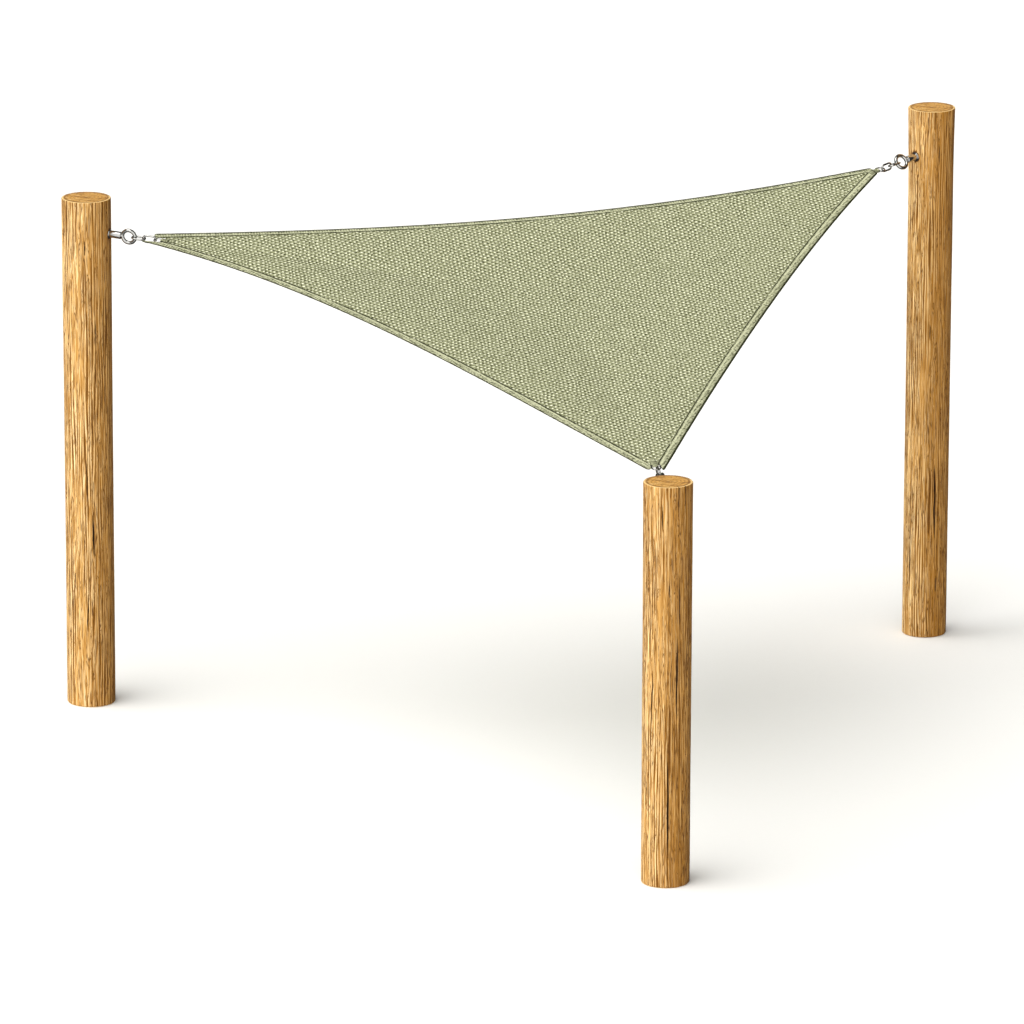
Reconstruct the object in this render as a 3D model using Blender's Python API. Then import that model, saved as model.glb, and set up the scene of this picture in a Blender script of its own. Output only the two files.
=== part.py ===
"""Triangular shade sail stretched between three round wooden posts.

The sail is one hemmed sheet with hollow-cut edges. At each blunt corner the cloth is folded round the bar of a
D-ring. Two chain links join the ring to an eye bolt, which is screwed into the post behind a washer.

Frame: metres, +Z up, origin on the ground in the middle of the three posts. -Y is the front.
"""
import math
from typing import NamedTuple

import bmesh
import bpy
from mathutils import Matrix, Vector

GAP = 0.0003                    # clearance between pieces that touch


class Corner(NamedTuple):
    """One post of the sail and what stands at its corner."""

    name: str
    post_xy: tuple              # middle of the post on the ground
    height: float               # of the post
    foot_radius: float
    top_radius: float
    flare: float                # length below the top over which the log thickens
    bolt_azimuth: float         # degrees from +X, way the eye bolt points
    pull_azimuth: float         # degrees from +X, way the sail pulls its chain
    eye_turn: float             # degrees by which the eye bolt stands turned on its axis
    apex: tuple                 # where the two hollow edges of the sail would meet


CORNERS = (
    Corner("left", (-1.960, 0.759), 2.410, 0.1110, 0.1130, 2.0, -17.0, -12.0, 0.0, (-1.826, 0.717, 2.244)),
    Corner("front", (0.667, -1.923), 1.812, 0.1060, 0.1070, 1.5, 96.0, 102.0, 0.0, (0.640, -1.677, 1.765)),
    Corner("right", (1.963, 1.920), 2.572, 0.1045, 0.1105, 0.5, -137.0, -136.5, 40.0, (1.746, 1.746, 2.335)),
)


class Edge(NamedTuple):
    """One hollow-cut edge of the sail, from one corner to the next."""

    start: str
    end: str
    bow: float                  # how far its middle is cut in from the straight line
    skew: float                 # above 0 the deepest point lies nearer the start
    cut_start: float            # length cut off at the start corner
    cut_end: float              # length cut off at the end corner


EDGES = (
    Edge("left", "front", 0.186, 0.54, 0.126, 0.087),
    Edge("front", "right", 0.067, -0.28, 0.066, 0.110),
    Edge("right", "left", 0.194, 0.13, 0.088, 0.176),
)

# Sail cloth
CLOTH = 0.0020                  # thickness of the single cloth
HEM_THICK = 0.0032              # thickness of the turned hem
HEM_WIDTH = 0.045
HEM_STEP = 0.003                # width of the step from hem to single cloth
EDGE_SAG = 0.012                # drop of an edge's middle below the plane of the corners
MIDDLE_SAG = 0.035              # drop of the sail's middle below that plane
EDGE_STEPS = 24                 # segments along one edge
CUT_STEPS = 3                   # segments along one blunt corner
RING_SHARES = (0.86, 0.70, 0.53, 0.36, 0.18)    # inner rings of the mesh, as shares of the way out

# Corner tab of the sail, folded round the D-ring's bar
TAB_WIDTH = 0.026
TAB_THICK = 0.0052
TAB_LENGTH = 0.060
TAB_WALL = 0.0024
NOTCH_WIDTH = 0.056
NOTCH_CLEAR = 0.009             # from the bar's middle to the bottom of the notch
NOTCH_REACH = 0.160             # how far the notch is cut outwards
NOTCH_HEIGHT = 0.020            # how far it is cut above and below the cloth

# D-ring
D_BAR = 0.0035                  # radius of its bar
D_WIDTH = 0.040                 # between the middles of its two sides
D_DEPTH = 0.036                 # from the middle of the straight bar to that of the bow
D_CORNER = 0.006                # bend at the ends of the straight bar

# Chain link
LINK_BAR = 0.0045
LINK_LENGTH = 0.061             # between the middles of its two ends
LINK_WIDTH = 0.031              # between the middles of its two sides
LINK_PLAY = 0.0007              # between two links, or a link and the ring it hangs in
INNER_TWIST = 0.55              # share of the eye's turn that the link in the eye takes
OUTER_TWIST = 0.25              # share that the next link takes

# Eye bolt
EYE_RADIUS = 0.0305             # of the ring, to the middle of its bar
EYE_BAR = 0.0085
EYE_REACH = 0.093               # from the post's surface to the middle of the ring
COLLAR_RADIUS = 0.017
COLLAR_END = 0.037              # from the middle of the ring to the collar's end
COLLAR_EDGE = 0.0015
NECK_RADIUS = 0.010
SHANK_RADIUS = 0.008
SHANK_LENGTH = 0.090

# Washer and its flat seat in the post
WASHER_RADIUS = 0.023
WASHER_THICK = 0.004
SEAT_RADIUS = 0.0245
SEAT_DEPTH = 0.003

# Post
POST_SIDES = 32
POST_EDGE = 0.004               # bevel round both ends
POST_LEVELS = (0.35, 0.65, 0.88)    # rings of the mesh between the ends, as shares of the height

# Fineness of the round shapes
TURNED_SIDES = 20               # of washers, stems and bores
EYE_STEPS = 24
BAR_SIDES = 8
BEND_STEPS = 6                  # segments along half a turn of a link
BOW_STEPS = 8                   # segments along the bow of a D-ring
FOLD_STEPS = 14                 # segments of the cloth round the D-ring's bar
BAR_BORE_SIDES = 12
SMOOTH_BELOW = 35.0             # degrees between two faces that are shaded as one

# Materials: (base colour, roughness, metallic)
LOG_WOOD = ((0.58, 0.34, 0.13), 0.6, 0.0)
BRIGHT_STEEL = ((0.78, 0.78, 0.77), 0.2, 1.0)
SAIL_CLOTH = ((0.46, 0.49, 0.31), 0.9, 0.0)


def azimuth(degrees):
    """Return the level unit vector that points this many degrees from +X."""
    return Vector((math.cos(math.radians(degrees)), math.sin(math.radians(degrees)), 0.0))


def sail_normal():
    """Return the upward normal of the plane through the three apexes."""
    left, front, right = (Vector(c.apex) for c in CORNERS)
    return (front - left).cross(right - left).normalized()


NORMAL = sail_normal()
APEX = {c.name: Vector(c.apex) for c in CORNERS}
CENTRE = sum(APEX.values(), Vector()) / 3


def on_sail_plane(point):
    """Return the point straight above or below this one on the plane of the sail."""
    drop = (point - CENTRE).dot(NORMAL) / NORMAL.z
    return Vector((point.x, point.y, point.z - drop))


def frame(origin, along):
    """Return a frame with X along a direction, Z square to it and as near the sail's normal as can be."""
    x_axis = along.normalized()
    y_axis = NORMAL.cross(x_axis).normalized()
    z_axis = x_axis.cross(y_axis)
    matrix = Matrix((x_axis, y_axis, z_axis)).transposed().to_4x4()
    matrix.translation = origin
    return matrix


def post_radius(corner, height):
    """Return the log's radius at a height above the ground."""
    share = min(max((height - corner.height + corner.flare) / corner.flare, 0.0), 1.0)
    return corner.foot_radius + (corner.top_radius - corner.foot_radius) * share ** 2


def eye_frame(corner):
    """Return the frame in the middle of the eye bolt's ring, with X pointing away from the post."""
    axis = Vector((*corner.post_xy, 0.0))
    way = azimuth(corner.bolt_azimuth)
    bolt_height = on_sail_plane(axis + way * corner.top_radius).z
    ring = on_sail_plane(axis + way * (post_radius(corner, bolt_height) + EYE_REACH))
    return frame(ring, on_sail_plane(ring + way) - ring)


def chain_frame(corner):
    """Return the frame of the chain, with X along it, that lies EYE_RADIUS behind the far end of the eye."""
    ring = eye_frame(corner)
    far_end = ring @ Vector((EYE_RADIUS, 0.0, 0.0))
    pull = (on_sail_plane(far_end + azimuth(corner.pull_azimuth)) - on_sail_plane(far_end)).normalized()
    return frame(far_end - pull * EYE_RADIUS, pull)


# Stations along the chain's frame
FIRST_START = EYE_RADIUS - EYE_BAR - LINK_BAR - LINK_PLAY
SECOND_START = FIRST_START + LINK_LENGTH - 2 * LINK_BAR - LINK_PLAY
D_BOW = SECOND_START + LINK_LENGTH - LINK_BAR - D_BAR - LINK_PLAY
D_STRAIGHT = D_BOW + D_DEPTH


def new_object(name, mesh_data, material=None):
    """Add an object that holds the finished bmesh."""
    bmesh.ops.recalc_face_normals(mesh_data, faces=mesh_data.faces)
    mesh = bpy.data.meshes.new(name)
    mesh_data.to_mesh(mesh)
    mesh_data.free()
    mesh.shade_smooth()
    mesh.set_sharp_from_angle(angle=math.radians(SMOOTH_BELOW))
    if material:
        mesh.materials.append(material)
    obj = bpy.data.objects.new(name, mesh)
    bpy.context.collection.objects.link(obj)
    return obj


def loft(mesh_data, rings, closed=False):
    """Join rings of vertices with quads, and cap the two ends unless the row of rings is closed."""
    count = len(rings[0])
    pairs = list(zip(rings, rings[1:]))
    if closed:
        pairs.append((rings[-1], rings[0]))
    for low, high in pairs:
        for i in range(count):
            j = (i + 1) % count
            mesh_data.faces.new((low[i], low[j], high[j], high[i]))
    if not closed:
        mesh_data.faces.new(rings[0])
        mesh_data.faces.new(rings[-1])


def turned(profile, sides, matrix, closed=False):
    """Turn a profile of (x, radius) points round the X axis of a frame."""
    mesh_data = bmesh.new()
    rings = []
    for x, radius in profile:
        angles = (2 * math.pi * i / sides for i in range(sides))
        points = (Vector((x, radius * math.cos(a), radius * math.sin(a))) for a in angles)
        rings.append([mesh_data.verts.new(matrix @ p) for p in points])
    loft(mesh_data, rings, closed)
    return mesh_data


def round_bar(path, radius, sides, matrix):
    """Run a round bar along a closed path of (x, y) points in the XY plane of a frame."""
    mesh_data = bmesh.new()
    rings = []
    for i, (x, y) in enumerate(path):
        before = Vector(path[i - 1])
        after = Vector(path[(i + 1) % len(path)])
        here = Vector((x, y))
        along_in = (here - before).normalized()
        along_out = (after - here).normalized()
        out = Vector((along_in.y + along_out.y, -along_in.x - along_out.x)).normalized()
        stretch = 1.0 / out.dot(Vector((along_out.y, -along_out.x)))
        ring = []
        for k in range(sides):
            angle = 2 * math.pi * (k + 0.5) / sides
            side = out * (radius * math.cos(angle) * stretch)
            point = Vector((x + side.x, y + side.y, radius * math.sin(angle)))
            ring.append(mesh_data.verts.new(matrix @ point))
        rings.append(ring)
    loft(mesh_data, rings, closed=True)
    return mesh_data


def arc(centre, radius, start, end, steps):
    """Return points of an arc, with its angles in degrees."""
    turns = (math.radians(start + (end - start) * i / steps) for i in range(steps + 1))
    return [(centre[0] + radius * math.cos(a), centre[1] + radius * math.sin(a)) for a in turns]


def helper(obj):
    """Mark an object as one that only cuts or joins another."""
    obj.hide_render = True
    obj.display_type = "WIRE"
    return obj


def combine(obj, operand, operation):
    """Cut or join an object with a helper."""
    modifier = obj.modifiers.new(operand.name, "BOOLEAN")
    modifier.operation = operation
    modifier.solver = "EXACT"
    modifier.object = helper(operand)


def material(name, colour, roughness, metallic):
    """Add a plain material."""
    result = bpy.data.materials.new(name)
    result.use_nodes = True
    shader = result.node_tree.nodes["Principled BSDF"]
    shader.inputs["Base Color"].default_value = (*colour, 1.0)
    shader.inputs["Roughness"].default_value = roughness
    shader.inputs["Metallic"].default_value = metallic
    return result


def build_post(corner, wood):
    """Build a log with bevelled ends, a flat seat for the washer and a blind hole for the bolt."""
    levels = [POST_EDGE, *(corner.height * share for share in POST_LEVELS), corner.height - POST_EDGE]
    profile = [(0.0, post_radius(corner, 0.0) - POST_EDGE)]
    profile += [(z, post_radius(corner, z)) for z in levels]
    profile.append((corner.height, corner.top_radius - POST_EDGE))
    upright = Matrix.Translation((*corner.post_xy, 0.0)) @ Matrix.Rotation(-math.pi / 2, 4, "Y")
    post = new_object(f"post_{corner.name}", turned(profile, POST_SIDES, upright), wood)
    seat = -EYE_REACH - SEAT_DEPTH
    bottom = seat - SHANK_LENGTH - GAP
    hole = SHANK_RADIUS + GAP
    bore = ((bottom, hole), (seat, hole), (seat, SEAT_RADIUS), (-EYE_REACH / 2, SEAT_RADIUS))
    cutter = new_object(f"bore_{corner.name}", turned(bore, TURNED_SIDES, eye_frame(corner)))
    combine(post, cutter, "DIFFERENCE")


def build_washer(corner, steel):
    """Build the washer that lies in the post's seat."""
    back = -EYE_REACH - SEAT_DEPTH + GAP
    front = back + WASHER_THICK
    hole = SHANK_RADIUS + GAP
    profile = ((back, hole), (back, WASHER_RADIUS), (front, WASHER_RADIUS), (front, hole))
    shape = turned(profile, TURNED_SIDES, eye_frame(corner), closed=True)
    new_object(f"washer_{corner.name}", shape, steel)


def build_eye_bolt(corner, steel):
    """Build the eye bolt: a ring, a short neck, a stout collar and a shank that goes into the post."""
    matrix = eye_frame(corner)
    ring_path = arc((0.0, 0.0), EYE_RADIUS, 0.0, 360.0, EYE_STEPS)[:-1]
    upright = matrix @ Matrix.Rotation(math.radians(90.0 + corner.eye_turn), 4, "X")
    bolt = new_object(f"eye_bolt_{corner.name}", round_bar(ring_path, EYE_BAR, BAR_SIDES, upright), steel)
    tip = -EYE_REACH - SEAT_DEPTH - SHANK_LENGTH + GAP
    back = -EYE_REACH - SEAT_DEPTH + WASHER_THICK + 2 * GAP
    profile = (
        (tip, SHANK_RADIUS - COLLAR_EDGE), (tip + COLLAR_EDGE, SHANK_RADIUS), (back, SHANK_RADIUS),
        (back, COLLAR_RADIUS), (-COLLAR_END - COLLAR_EDGE, COLLAR_RADIUS),
        (-COLLAR_END, COLLAR_RADIUS - COLLAR_EDGE), (-COLLAR_END, NECK_RADIUS), (-EYE_RADIUS, NECK_RADIUS / 2),
    )
    stem = new_object(f"stem_{corner.name}", turned(profile, TURNED_SIDES, matrix))
    combine(bolt, stem, "UNION")


def build_links(corner, steel):
    """Build the two chain links, square to each other but for the share they take of the eye's turn."""
    radius = LINK_WIDTH / 2
    ends = (radius, LINK_LENGTH - radius)
    path = arc((ends[1], 0.0), radius, -90.0, 90.0, BEND_STEPS)
    path += arc((ends[0], 0.0), radius, 90.0, 270.0, BEND_STEPS)
    inner_turn = INNER_TWIST * corner.eye_turn
    outer_turn = 90.0 + OUTER_TWIST * corner.eye_turn
    for name, start, turn in (("inner", FIRST_START, inner_turn), ("outer", SECOND_START, outer_turn)):
        twist = Matrix.Rotation(math.radians(turn), 4, "X")
        place = chain_frame(corner) @ Matrix.Translation((start, 0.0, 0.0)) @ twist
        new_object(f"link_{name}_{corner.name}", round_bar(path, LINK_BAR, BAR_SIDES, place), steel)


def build_d_ring(corner, steel):
    """Build the D-ring, its bow in the chain's second link and its straight bar in the sail's fold."""
    radius = D_WIDTH / 2
    inner = radius - D_CORNER
    path = arc((D_BOW + radius, 0.0), radius, 90.0, 270.0, BOW_STEPS)
    path += arc((D_STRAIGHT - D_CORNER, -inner), D_CORNER, 270.0, 360.0, 2)
    path += arc((D_STRAIGHT - D_CORNER, inner), D_CORNER, 0.0, 90.0, 2)
    new_object(f"d_ring_{corner.name}", round_bar(path, D_BAR, BAR_SIDES, chain_frame(corner)), steel)


def edge_point(edge, share):
    """Return the point of an edge at a share of the way between its two apexes."""
    start = APEX[edge.start]
    end = APEX[edge.end]
    inward = NORMAL.cross(end - start).normalized()
    rise = 4 * share * (1 - share)
    depth = edge.bow * rise * (1 + edge.skew * (1 - 2 * share))
    return start.lerp(end, share) + inward * depth + Vector((0.0, 0.0, -EDGE_SAG * rise ** 2))


def sail_outline():
    """Return the sail's outline, anticlockwise from above, as (point, inward direction) pairs."""
    outline = []
    corner_ends = []
    for edge in EDGES:
        length = (APEX[edge.end] - APEX[edge.start]).length
        first = edge.cut_start / length
        last = 1 - edge.cut_end / length
        shares = [first + (last - first) * i / EDGE_STEPS for i in range(EDGE_STEPS + 1)]
        corner_ends.append([edge_point(edge, s) for s in shares])
    for points, following in zip(corner_ends, corner_ends[1:] + corner_ends[:1]):
        blunt = [points[-1].lerp(following[0], i / CUT_STEPS) for i in range(1, CUT_STEPS)]
        outline += points + blunt
    result = []
    for i, point in enumerate(outline):
        sides = (point - outline[i - 1], outline[(i + 1) % len(outline)] - point)
        inward = sum((NORMAL.cross(s.normalized()) for s in sides), Vector()).normalized()
        result.append((point, inward))
    return result


def sail_rings():
    """Return the rings of the sail's middle surface, from the edge inwards, each a list of points."""
    rings = [[], [], []]
    for point, inward in sail_outline():
        to_centre = CENTRE - point
        pace = to_centre / max(to_centre.dot(inward), 0.5 * to_centre.length)
        rings[0].append(point)
        rings[1].append(point + pace * HEM_WIDTH)
        rings[2].append(point + pace * (HEM_WIDTH + HEM_STEP))
    for share in RING_SHARES:
        rings.append([])
        for point, fold in zip(rings[0], rings[2]):
            dip = MIDDLE_SAG * (1 - share ** 2) ** 2
            rings[-1].append(CENTRE.lerp(fold, share) - Vector((0.0, 0.0, dip)))
    return rings


def build_sheet(cloth):
    """Build the hemmed sheet as a single surface that is given its thickness by a modifier."""
    mesh_data = bmesh.new()
    rings = [[mesh_data.verts.new(p) for p in ring] for ring in sail_rings()]
    count = len(rings[0])
    for outer, inner in zip(rings, rings[1:]):
        for i in range(count):
            j = (i + 1) % count
            mesh_data.faces.new((outer[i], outer[j], inner[j], inner[i]))
    middle = mesh_data.verts.new(CENTRE - Vector((0.0, 0.0, MIDDLE_SAG)))
    for i in range(count):
        mesh_data.faces.new((rings[-1][i], rings[-1][(i + 1) % count], middle))
    sail = new_object("sail", mesh_data, cloth)
    hem = sail.vertex_groups.new(name="hem")
    hem.add(list(range(2 * count)), 1.0, "REPLACE")
    thickness = sail.modifiers.new("thickness", "SOLIDIFY")
    thickness.thickness = HEM_THICK
    thickness.offset = 0.0
    thickness.vertex_group = hem.name
    thickness.thickness_vertex_group = CLOTH / HEM_THICK
    return sail


def extruded(outline, half_width, matrix):
    """Extrude an outline of (x, z) points to both sides along the Y axis of a frame."""
    mesh_data = bmesh.new()
    rings = []
    for side in (-half_width, half_width):
        rings.append([mesh_data.verts.new(matrix @ Vector((x, side, z))) for x, z in outline])
    loft(mesh_data, rings)
    return mesh_data


def joined(name, parts):
    """Join separate shapes in one helper object."""
    total = bmesh.new()
    for part in parts:
        mesh = bpy.data.meshes.new("shape")
        part.to_mesh(mesh)
        part.free()
        total.from_mesh(mesh)
        bpy.data.meshes.remove(mesh)
    return new_object(name, total)


def build_sail(cloth):
    """Build the sail: the sheet, notched at each corner, with a tab folded round the D-ring's bar."""
    sail = build_sheet(cloth)
    notches, tabs, bores = [], [], []
    fold = D_BAR + GAP + TAB_WALL
    join = math.degrees(math.asin(TAB_THICK / 2 / fold))
    for corner in CORNERS:
        place = chain_frame(corner) @ Matrix.Translation((D_STRAIGHT, 0.0, 0.0))
        box = [(-NOTCH_REACH, -NOTCH_HEIGHT), (NOTCH_CLEAR, -NOTCH_HEIGHT)]
        box += [(NOTCH_CLEAR, NOTCH_HEIGHT), (-NOTCH_REACH, NOTCH_HEIGHT)]
        notches.append(extruded(box, NOTCH_WIDTH / 2, place))
        keyhole = arc((0.0, 0.0), fold, join, 360.0 - join, FOLD_STEPS)
        keyhole += [(TAB_LENGTH, -TAB_THICK / 2), (TAB_LENGTH, TAB_THICK / 2)]
        tabs.append(extruded(keyhole, TAB_WIDTH / 2, place))
        bore = arc((0.0, 0.0), D_BAR + GAP, 0.0, 360.0, BAR_BORE_SIDES)[:-1]
        bores.append(extruded(bore, TAB_WIDTH, place))
    combine(sail, joined("corner_notches", notches), "DIFFERENCE")
    combine(sail, joined("corner_tabs", tabs), "UNION")
    combine(sail, joined("bar_bores", bores), "DIFFERENCE")


def main():
    """Clear the scene and build every piece."""
    for obj in list(bpy.data.objects):
        bpy.data.objects.remove(obj)
    wood = material("log wood", *LOG_WOOD)
    steel = material("bright steel", *BRIGHT_STEEL)
    cloth = material("sail cloth", *SAIL_CLOTH)
    for corner in CORNERS:
        build_post(corner, wood)
        build_washer(corner, steel)
        build_eye_bolt(corner, steel)
        build_links(corner, steel)
        build_d_ring(corner, steel)
    build_sail(cloth)


main()
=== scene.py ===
"""Shade sail between three log posts: the looks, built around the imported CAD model.

Frame: metres, +Z up, origin on the ground in the middle of the three posts, -Y is the front. The
shape of the sail, the logs and the fittings repeats the named sizes of the CAD source.
"""
import logging
import math
from dataclasses import dataclass, field
from enum import Enum
from typing import Any, Callable, NamedTuple, Sequence

import bmesh
import bpy
import numpy as np
from mathutils import Matrix, Vector, noise


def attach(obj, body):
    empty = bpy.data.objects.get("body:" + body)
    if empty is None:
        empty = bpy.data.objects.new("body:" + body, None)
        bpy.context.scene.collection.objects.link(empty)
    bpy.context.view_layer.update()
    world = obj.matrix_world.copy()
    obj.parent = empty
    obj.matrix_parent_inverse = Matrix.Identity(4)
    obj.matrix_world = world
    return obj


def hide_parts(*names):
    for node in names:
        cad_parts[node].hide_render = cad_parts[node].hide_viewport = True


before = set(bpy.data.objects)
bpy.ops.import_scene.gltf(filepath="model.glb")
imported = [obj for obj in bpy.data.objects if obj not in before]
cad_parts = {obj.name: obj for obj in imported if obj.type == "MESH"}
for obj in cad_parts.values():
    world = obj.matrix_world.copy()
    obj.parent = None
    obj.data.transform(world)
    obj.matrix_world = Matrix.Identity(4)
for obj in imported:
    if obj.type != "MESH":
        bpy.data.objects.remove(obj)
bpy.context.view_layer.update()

LOG = logging.getLogger("shade_sail")

Colour = tuple[float, float, float]
Place = tuple[float, float, float]
Outline = list[tuple[float, float]]


class Slot(Enum):
    """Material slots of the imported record."""

    CLOTH = "sail_cloth"
    WOOD = "log_wood"
    STEEL = "bright_steel"


class Corner(NamedTuple):
    """One post of the sail and what stands at its corner."""

    name: str
    post_xy: tuple[float, float]    # middle of the post on the ground
    height: float                   # of the post
    foot_radius: float
    top_radius: float
    flare: float                    # length below the top over which the log thickens
    bolt_azimuth: float             # degrees from +X, way the eye bolt points
    pull_azimuth: float             # degrees from +X, way the sail pulls its chain
    eye_turn: float                 # degrees by which the eye bolt stands turned on its axis
    apex: tuple[float, float, float]    # where the two hollow edges of the sail would meet
    painted_shade_depth: float                 # depth of the painted shade on the side of the log away from the sun


CORNERS = (
    Corner(
        "left", (-1.960, 0.759), 2.410, 0.1110, 0.1130, 2.0, -17.0, -12.0, 0.0,
        (-1.826, 0.717, 2.244), 0.60,
    ),
    Corner(
        "front", (0.667, -1.923), 1.812, 0.1060, 0.1070, 1.5, 96.0, 102.0, 0.0,
        (0.640, -1.677, 1.765), 0.70,
    ),
    Corner(
        "right", (1.963, 1.92), 2.572, 0.1045, 0.1105, 0.5, -137.0, -136.5, 40.0,
        (1.746, 1.746, 2.335), 0.74,
    ),
)


class Edge(NamedTuple):
    """One hollow-cut edge of the sail, from one corner to the next."""

    start: str
    end: str
    bow: float                  # how far its middle is cut in from the straight line
    skew: float                 # above 0 the deepest point lies nearer the start
    cut_start: float            # length cut off at the start corner
    cut_end: float              # length cut off at the end corner
    lift: tuple[float, float]   # of its hem at both ends: over the next edge's hem if above 0, else under it


EDGES = (
    Edge("left", "front", 0.186, 0.54, 0.126, 0.087, (-0.0012, -0.0012)),
    Edge("front", "right", 0.067, -0.28, 0.066, 0.110, (0.0012, 0.0012)),
    Edge("right", "left", 0.194, 0.13, 0.088, 0.176, (-0.0012, 0.0012)),
)


class Crack(NamedTuple):
    """A drying crack in a log, by the azimuth in degrees and the height in metres of its two ends."""

    azimuth: float
    height: float
    azimuth_end: float
    height_end: float
    width: float
    wave: float                 # how far it wanders to both sides


CRACKS = {
    "front": (
        Crack(-128.6, 0.997, -127.3, 0.699, 0.006, 0.004), Crack(-66.5, 1.142, -66.6, 0.757, 0.0085, 0.0012),
        Crack(-65.1, 1.83, -64.4, 1.679, 0.0045, 0.0008), Crack(-46.2, 1.83, -45.5, 1.683, 0.0045, 0.0008),
        Crack(-104.9, 1.739, -102.0, 1.614, 0.004, 0.0008), Crack(-86.2, 1.377, -86.0, 1.319, 0.004, 0.0005),
        Crack(-63.3, 1.424, -59.2, 1.162, 0.005, 0.0015), Crack(-88.9, 0.61, -83.6, 0.131, 0.0075, 0.002),
        Crack(-43.6, 0.103, -42.6, 0.047, 0.0035, 0.0005), Crack(20.0, 1.45, 22.0, 0.98, 0.007, 0.002),
        Crack(78.0, 0.9, 76.0, 0.52, 0.006, 0.002), Crack(141.0, 1.35, 143.0, 1.08, 0.005, 0.0015),
        Crack(165.0, 0.56, 163.5, 0.18, 0.006, 0.0015),
    ),
    "right": (
        Crack(-71.7, 2.413, -70.8, 2.316, 0.0045, 0.0006), Crack(-88.9, 1.541, -88.3, 1.468, 0.004, 0.0005),
        Crack(-71.7, 0.854, -66.6, 0.474, 0.0085, 0.002), Crack(-63.3, 0.3, -62.6, 0.225, 0.0045, 0.0006),
        Crack(-137.2, 0.555, -135.7, 0.249, 0.005, 0.0012), Crack(5.0, 1.9, 7.0, 1.31, 0.007, 0.002),
        Crack(60.0, 0.95, 58.0, 0.64, 0.006, 0.0015), Crack(118.0, 2.2, 119.0, 1.83, 0.006, 0.002),
        Crack(172.0, 1.25, 171.0, 0.92, 0.0055, 0.0015),
    ),
    "left": (
        Crack(-92.4, 2.226, -91.8, 2.165, 0.004, 0.0004), Crack(-69.2, 1.856, -68.7, 1.733, 0.0045, 0.0008),
        Crack(-80.2, 0.929, -76.5, 0.727, 0.0075, 0.001), Crack(-125.9, 0.649, -124.9, 0.577, 0.004, 0.0005),
        Crack(-92.9, 0.544, -93.9, 0.366, 0.0045, 0.001), Crack(-142.7, 1.566, -143.2, 1.509, 0.004, 0.0004),
        Crack(-94.2, 1.192, -90.6, 0.982, 0.005, 0.0012), Crack(12.0, 1.3, 14.0, 0.82, 0.007, 0.002),
        Crack(74.0, 2.05, 72.0, 1.62, 0.006, 0.002), Crack(128.0, 0.7, 129.5, 0.3, 0.006, 0.0015),
        Crack(176.0, 1.85, 178.0, 1.52, 0.005, 0.0012),
    ),
}

# Sail: the shape in which it hangs
EDGE_SAG = 0.012                # drop of an edge's middle below the plane of the corners
MIDDLE_SAG = 0.035              # drop of the sail's middle below that plane
HEM_WIDTH = 0.045
HEM_STEP = 0.003                # width of the step from hem to single cloth

# Chain and D-ring: stations along the pull of each corner, as in the CAD source
D_BAR = 0.0035                  # radius of its bar
D_WIDTH = 0.040                 # between the middles of its two sides
D_DEPTH = 0.036                 # from the middle of the straight bar to that of the bow
D_CORNER = 0.006                # bend at the ends of the straight bar
LINK_BAR = 0.0045
LINK_LENGTH = 0.061             # between the middles of its two ends
LINK_WIDTH = 0.031              # between the middles of its two sides
LINK_PLAY = 0.0007              # between two links, or a link and the ring it hangs in
INNER_TWIST = 0.55              # share of the eye's turn that the link in the eye takes
OUTER_TWIST = 0.25              # share that the next link takes
EYE_RADIUS = 0.0305             # of the ring, to the middle of its bar
EYE_BAR = 0.0085
EYE_REACH = 0.093               # from the post's surface to the middle of the ring
GAP = 0.0003                    # clearance between pieces that touch
FIRST_START = EYE_RADIUS - EYE_BAR - LINK_BAR - LINK_PLAY
SECOND_START = FIRST_START + LINK_LENGTH - 2 * LINK_BAR - LINK_PLAY
D_BOW = SECOND_START + LINK_LENGTH - LINK_BAR - D_BAR - LINK_PLAY
D_STRAIGHT = D_BOW + D_DEPTH


def azimuth(degrees: float) -> Vector:
    """Return the level unit vector that points this many degrees from +X."""
    return Vector((math.cos(math.radians(degrees)), math.sin(math.radians(degrees)), 0.0))


def sail_normal() -> Vector:
    """Return the upward normal of the plane through the three apexes."""
    left, front, right = (Vector(c.apex) for c in CORNERS)
    return (front - left).cross(right - left).normalized()


NORMAL = sail_normal()
APEX = {c.name: Vector(c.apex) for c in CORNERS}
CENTRE = sum(APEX.values(), Vector()) / 3


def on_sail_plane(point: Vector) -> Vector:
    """Return the point straight above or below this one on the plane of the sail."""
    drop = (point - CENTRE).dot(NORMAL) / NORMAL.z
    return Vector((point.x, point.y, point.z - drop))


def basis(x_axis: Vector, y_axis: Vector, origin: Vector) -> Matrix:
    """Set up a frame.

    Args:
        x_axis: Its X axis.
        y_axis: Its Y axis, square to X.
        origin: Its origin.

    Returns:
        The frame's matrix.
    """
    matrix = Matrix((x_axis, y_axis, x_axis.cross(y_axis))).transposed().to_4x4()
    matrix.translation = origin
    return matrix


def axes(origin: Vector, along: Vector) -> Matrix:
    """Set up a frame with X along a direction.

    Args:
        origin: The frame's origin.
        along: The way its X axis points.

    Returns:
        The frame, with Z square to X and as near the sail's normal as can be.
    """
    x_axis = along.normalized()
    y_axis = NORMAL.cross(x_axis).normalized()
    return basis(x_axis, y_axis, origin)


def post_radius(corner: Corner, height: float) -> float:
    """Return the log's radius at a height above the ground."""
    share = min(max((height - corner.height + corner.flare) / corner.flare, 0.0), 1.0)
    return corner.foot_radius + (corner.top_radius - corner.foot_radius) * share ** 2


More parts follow.
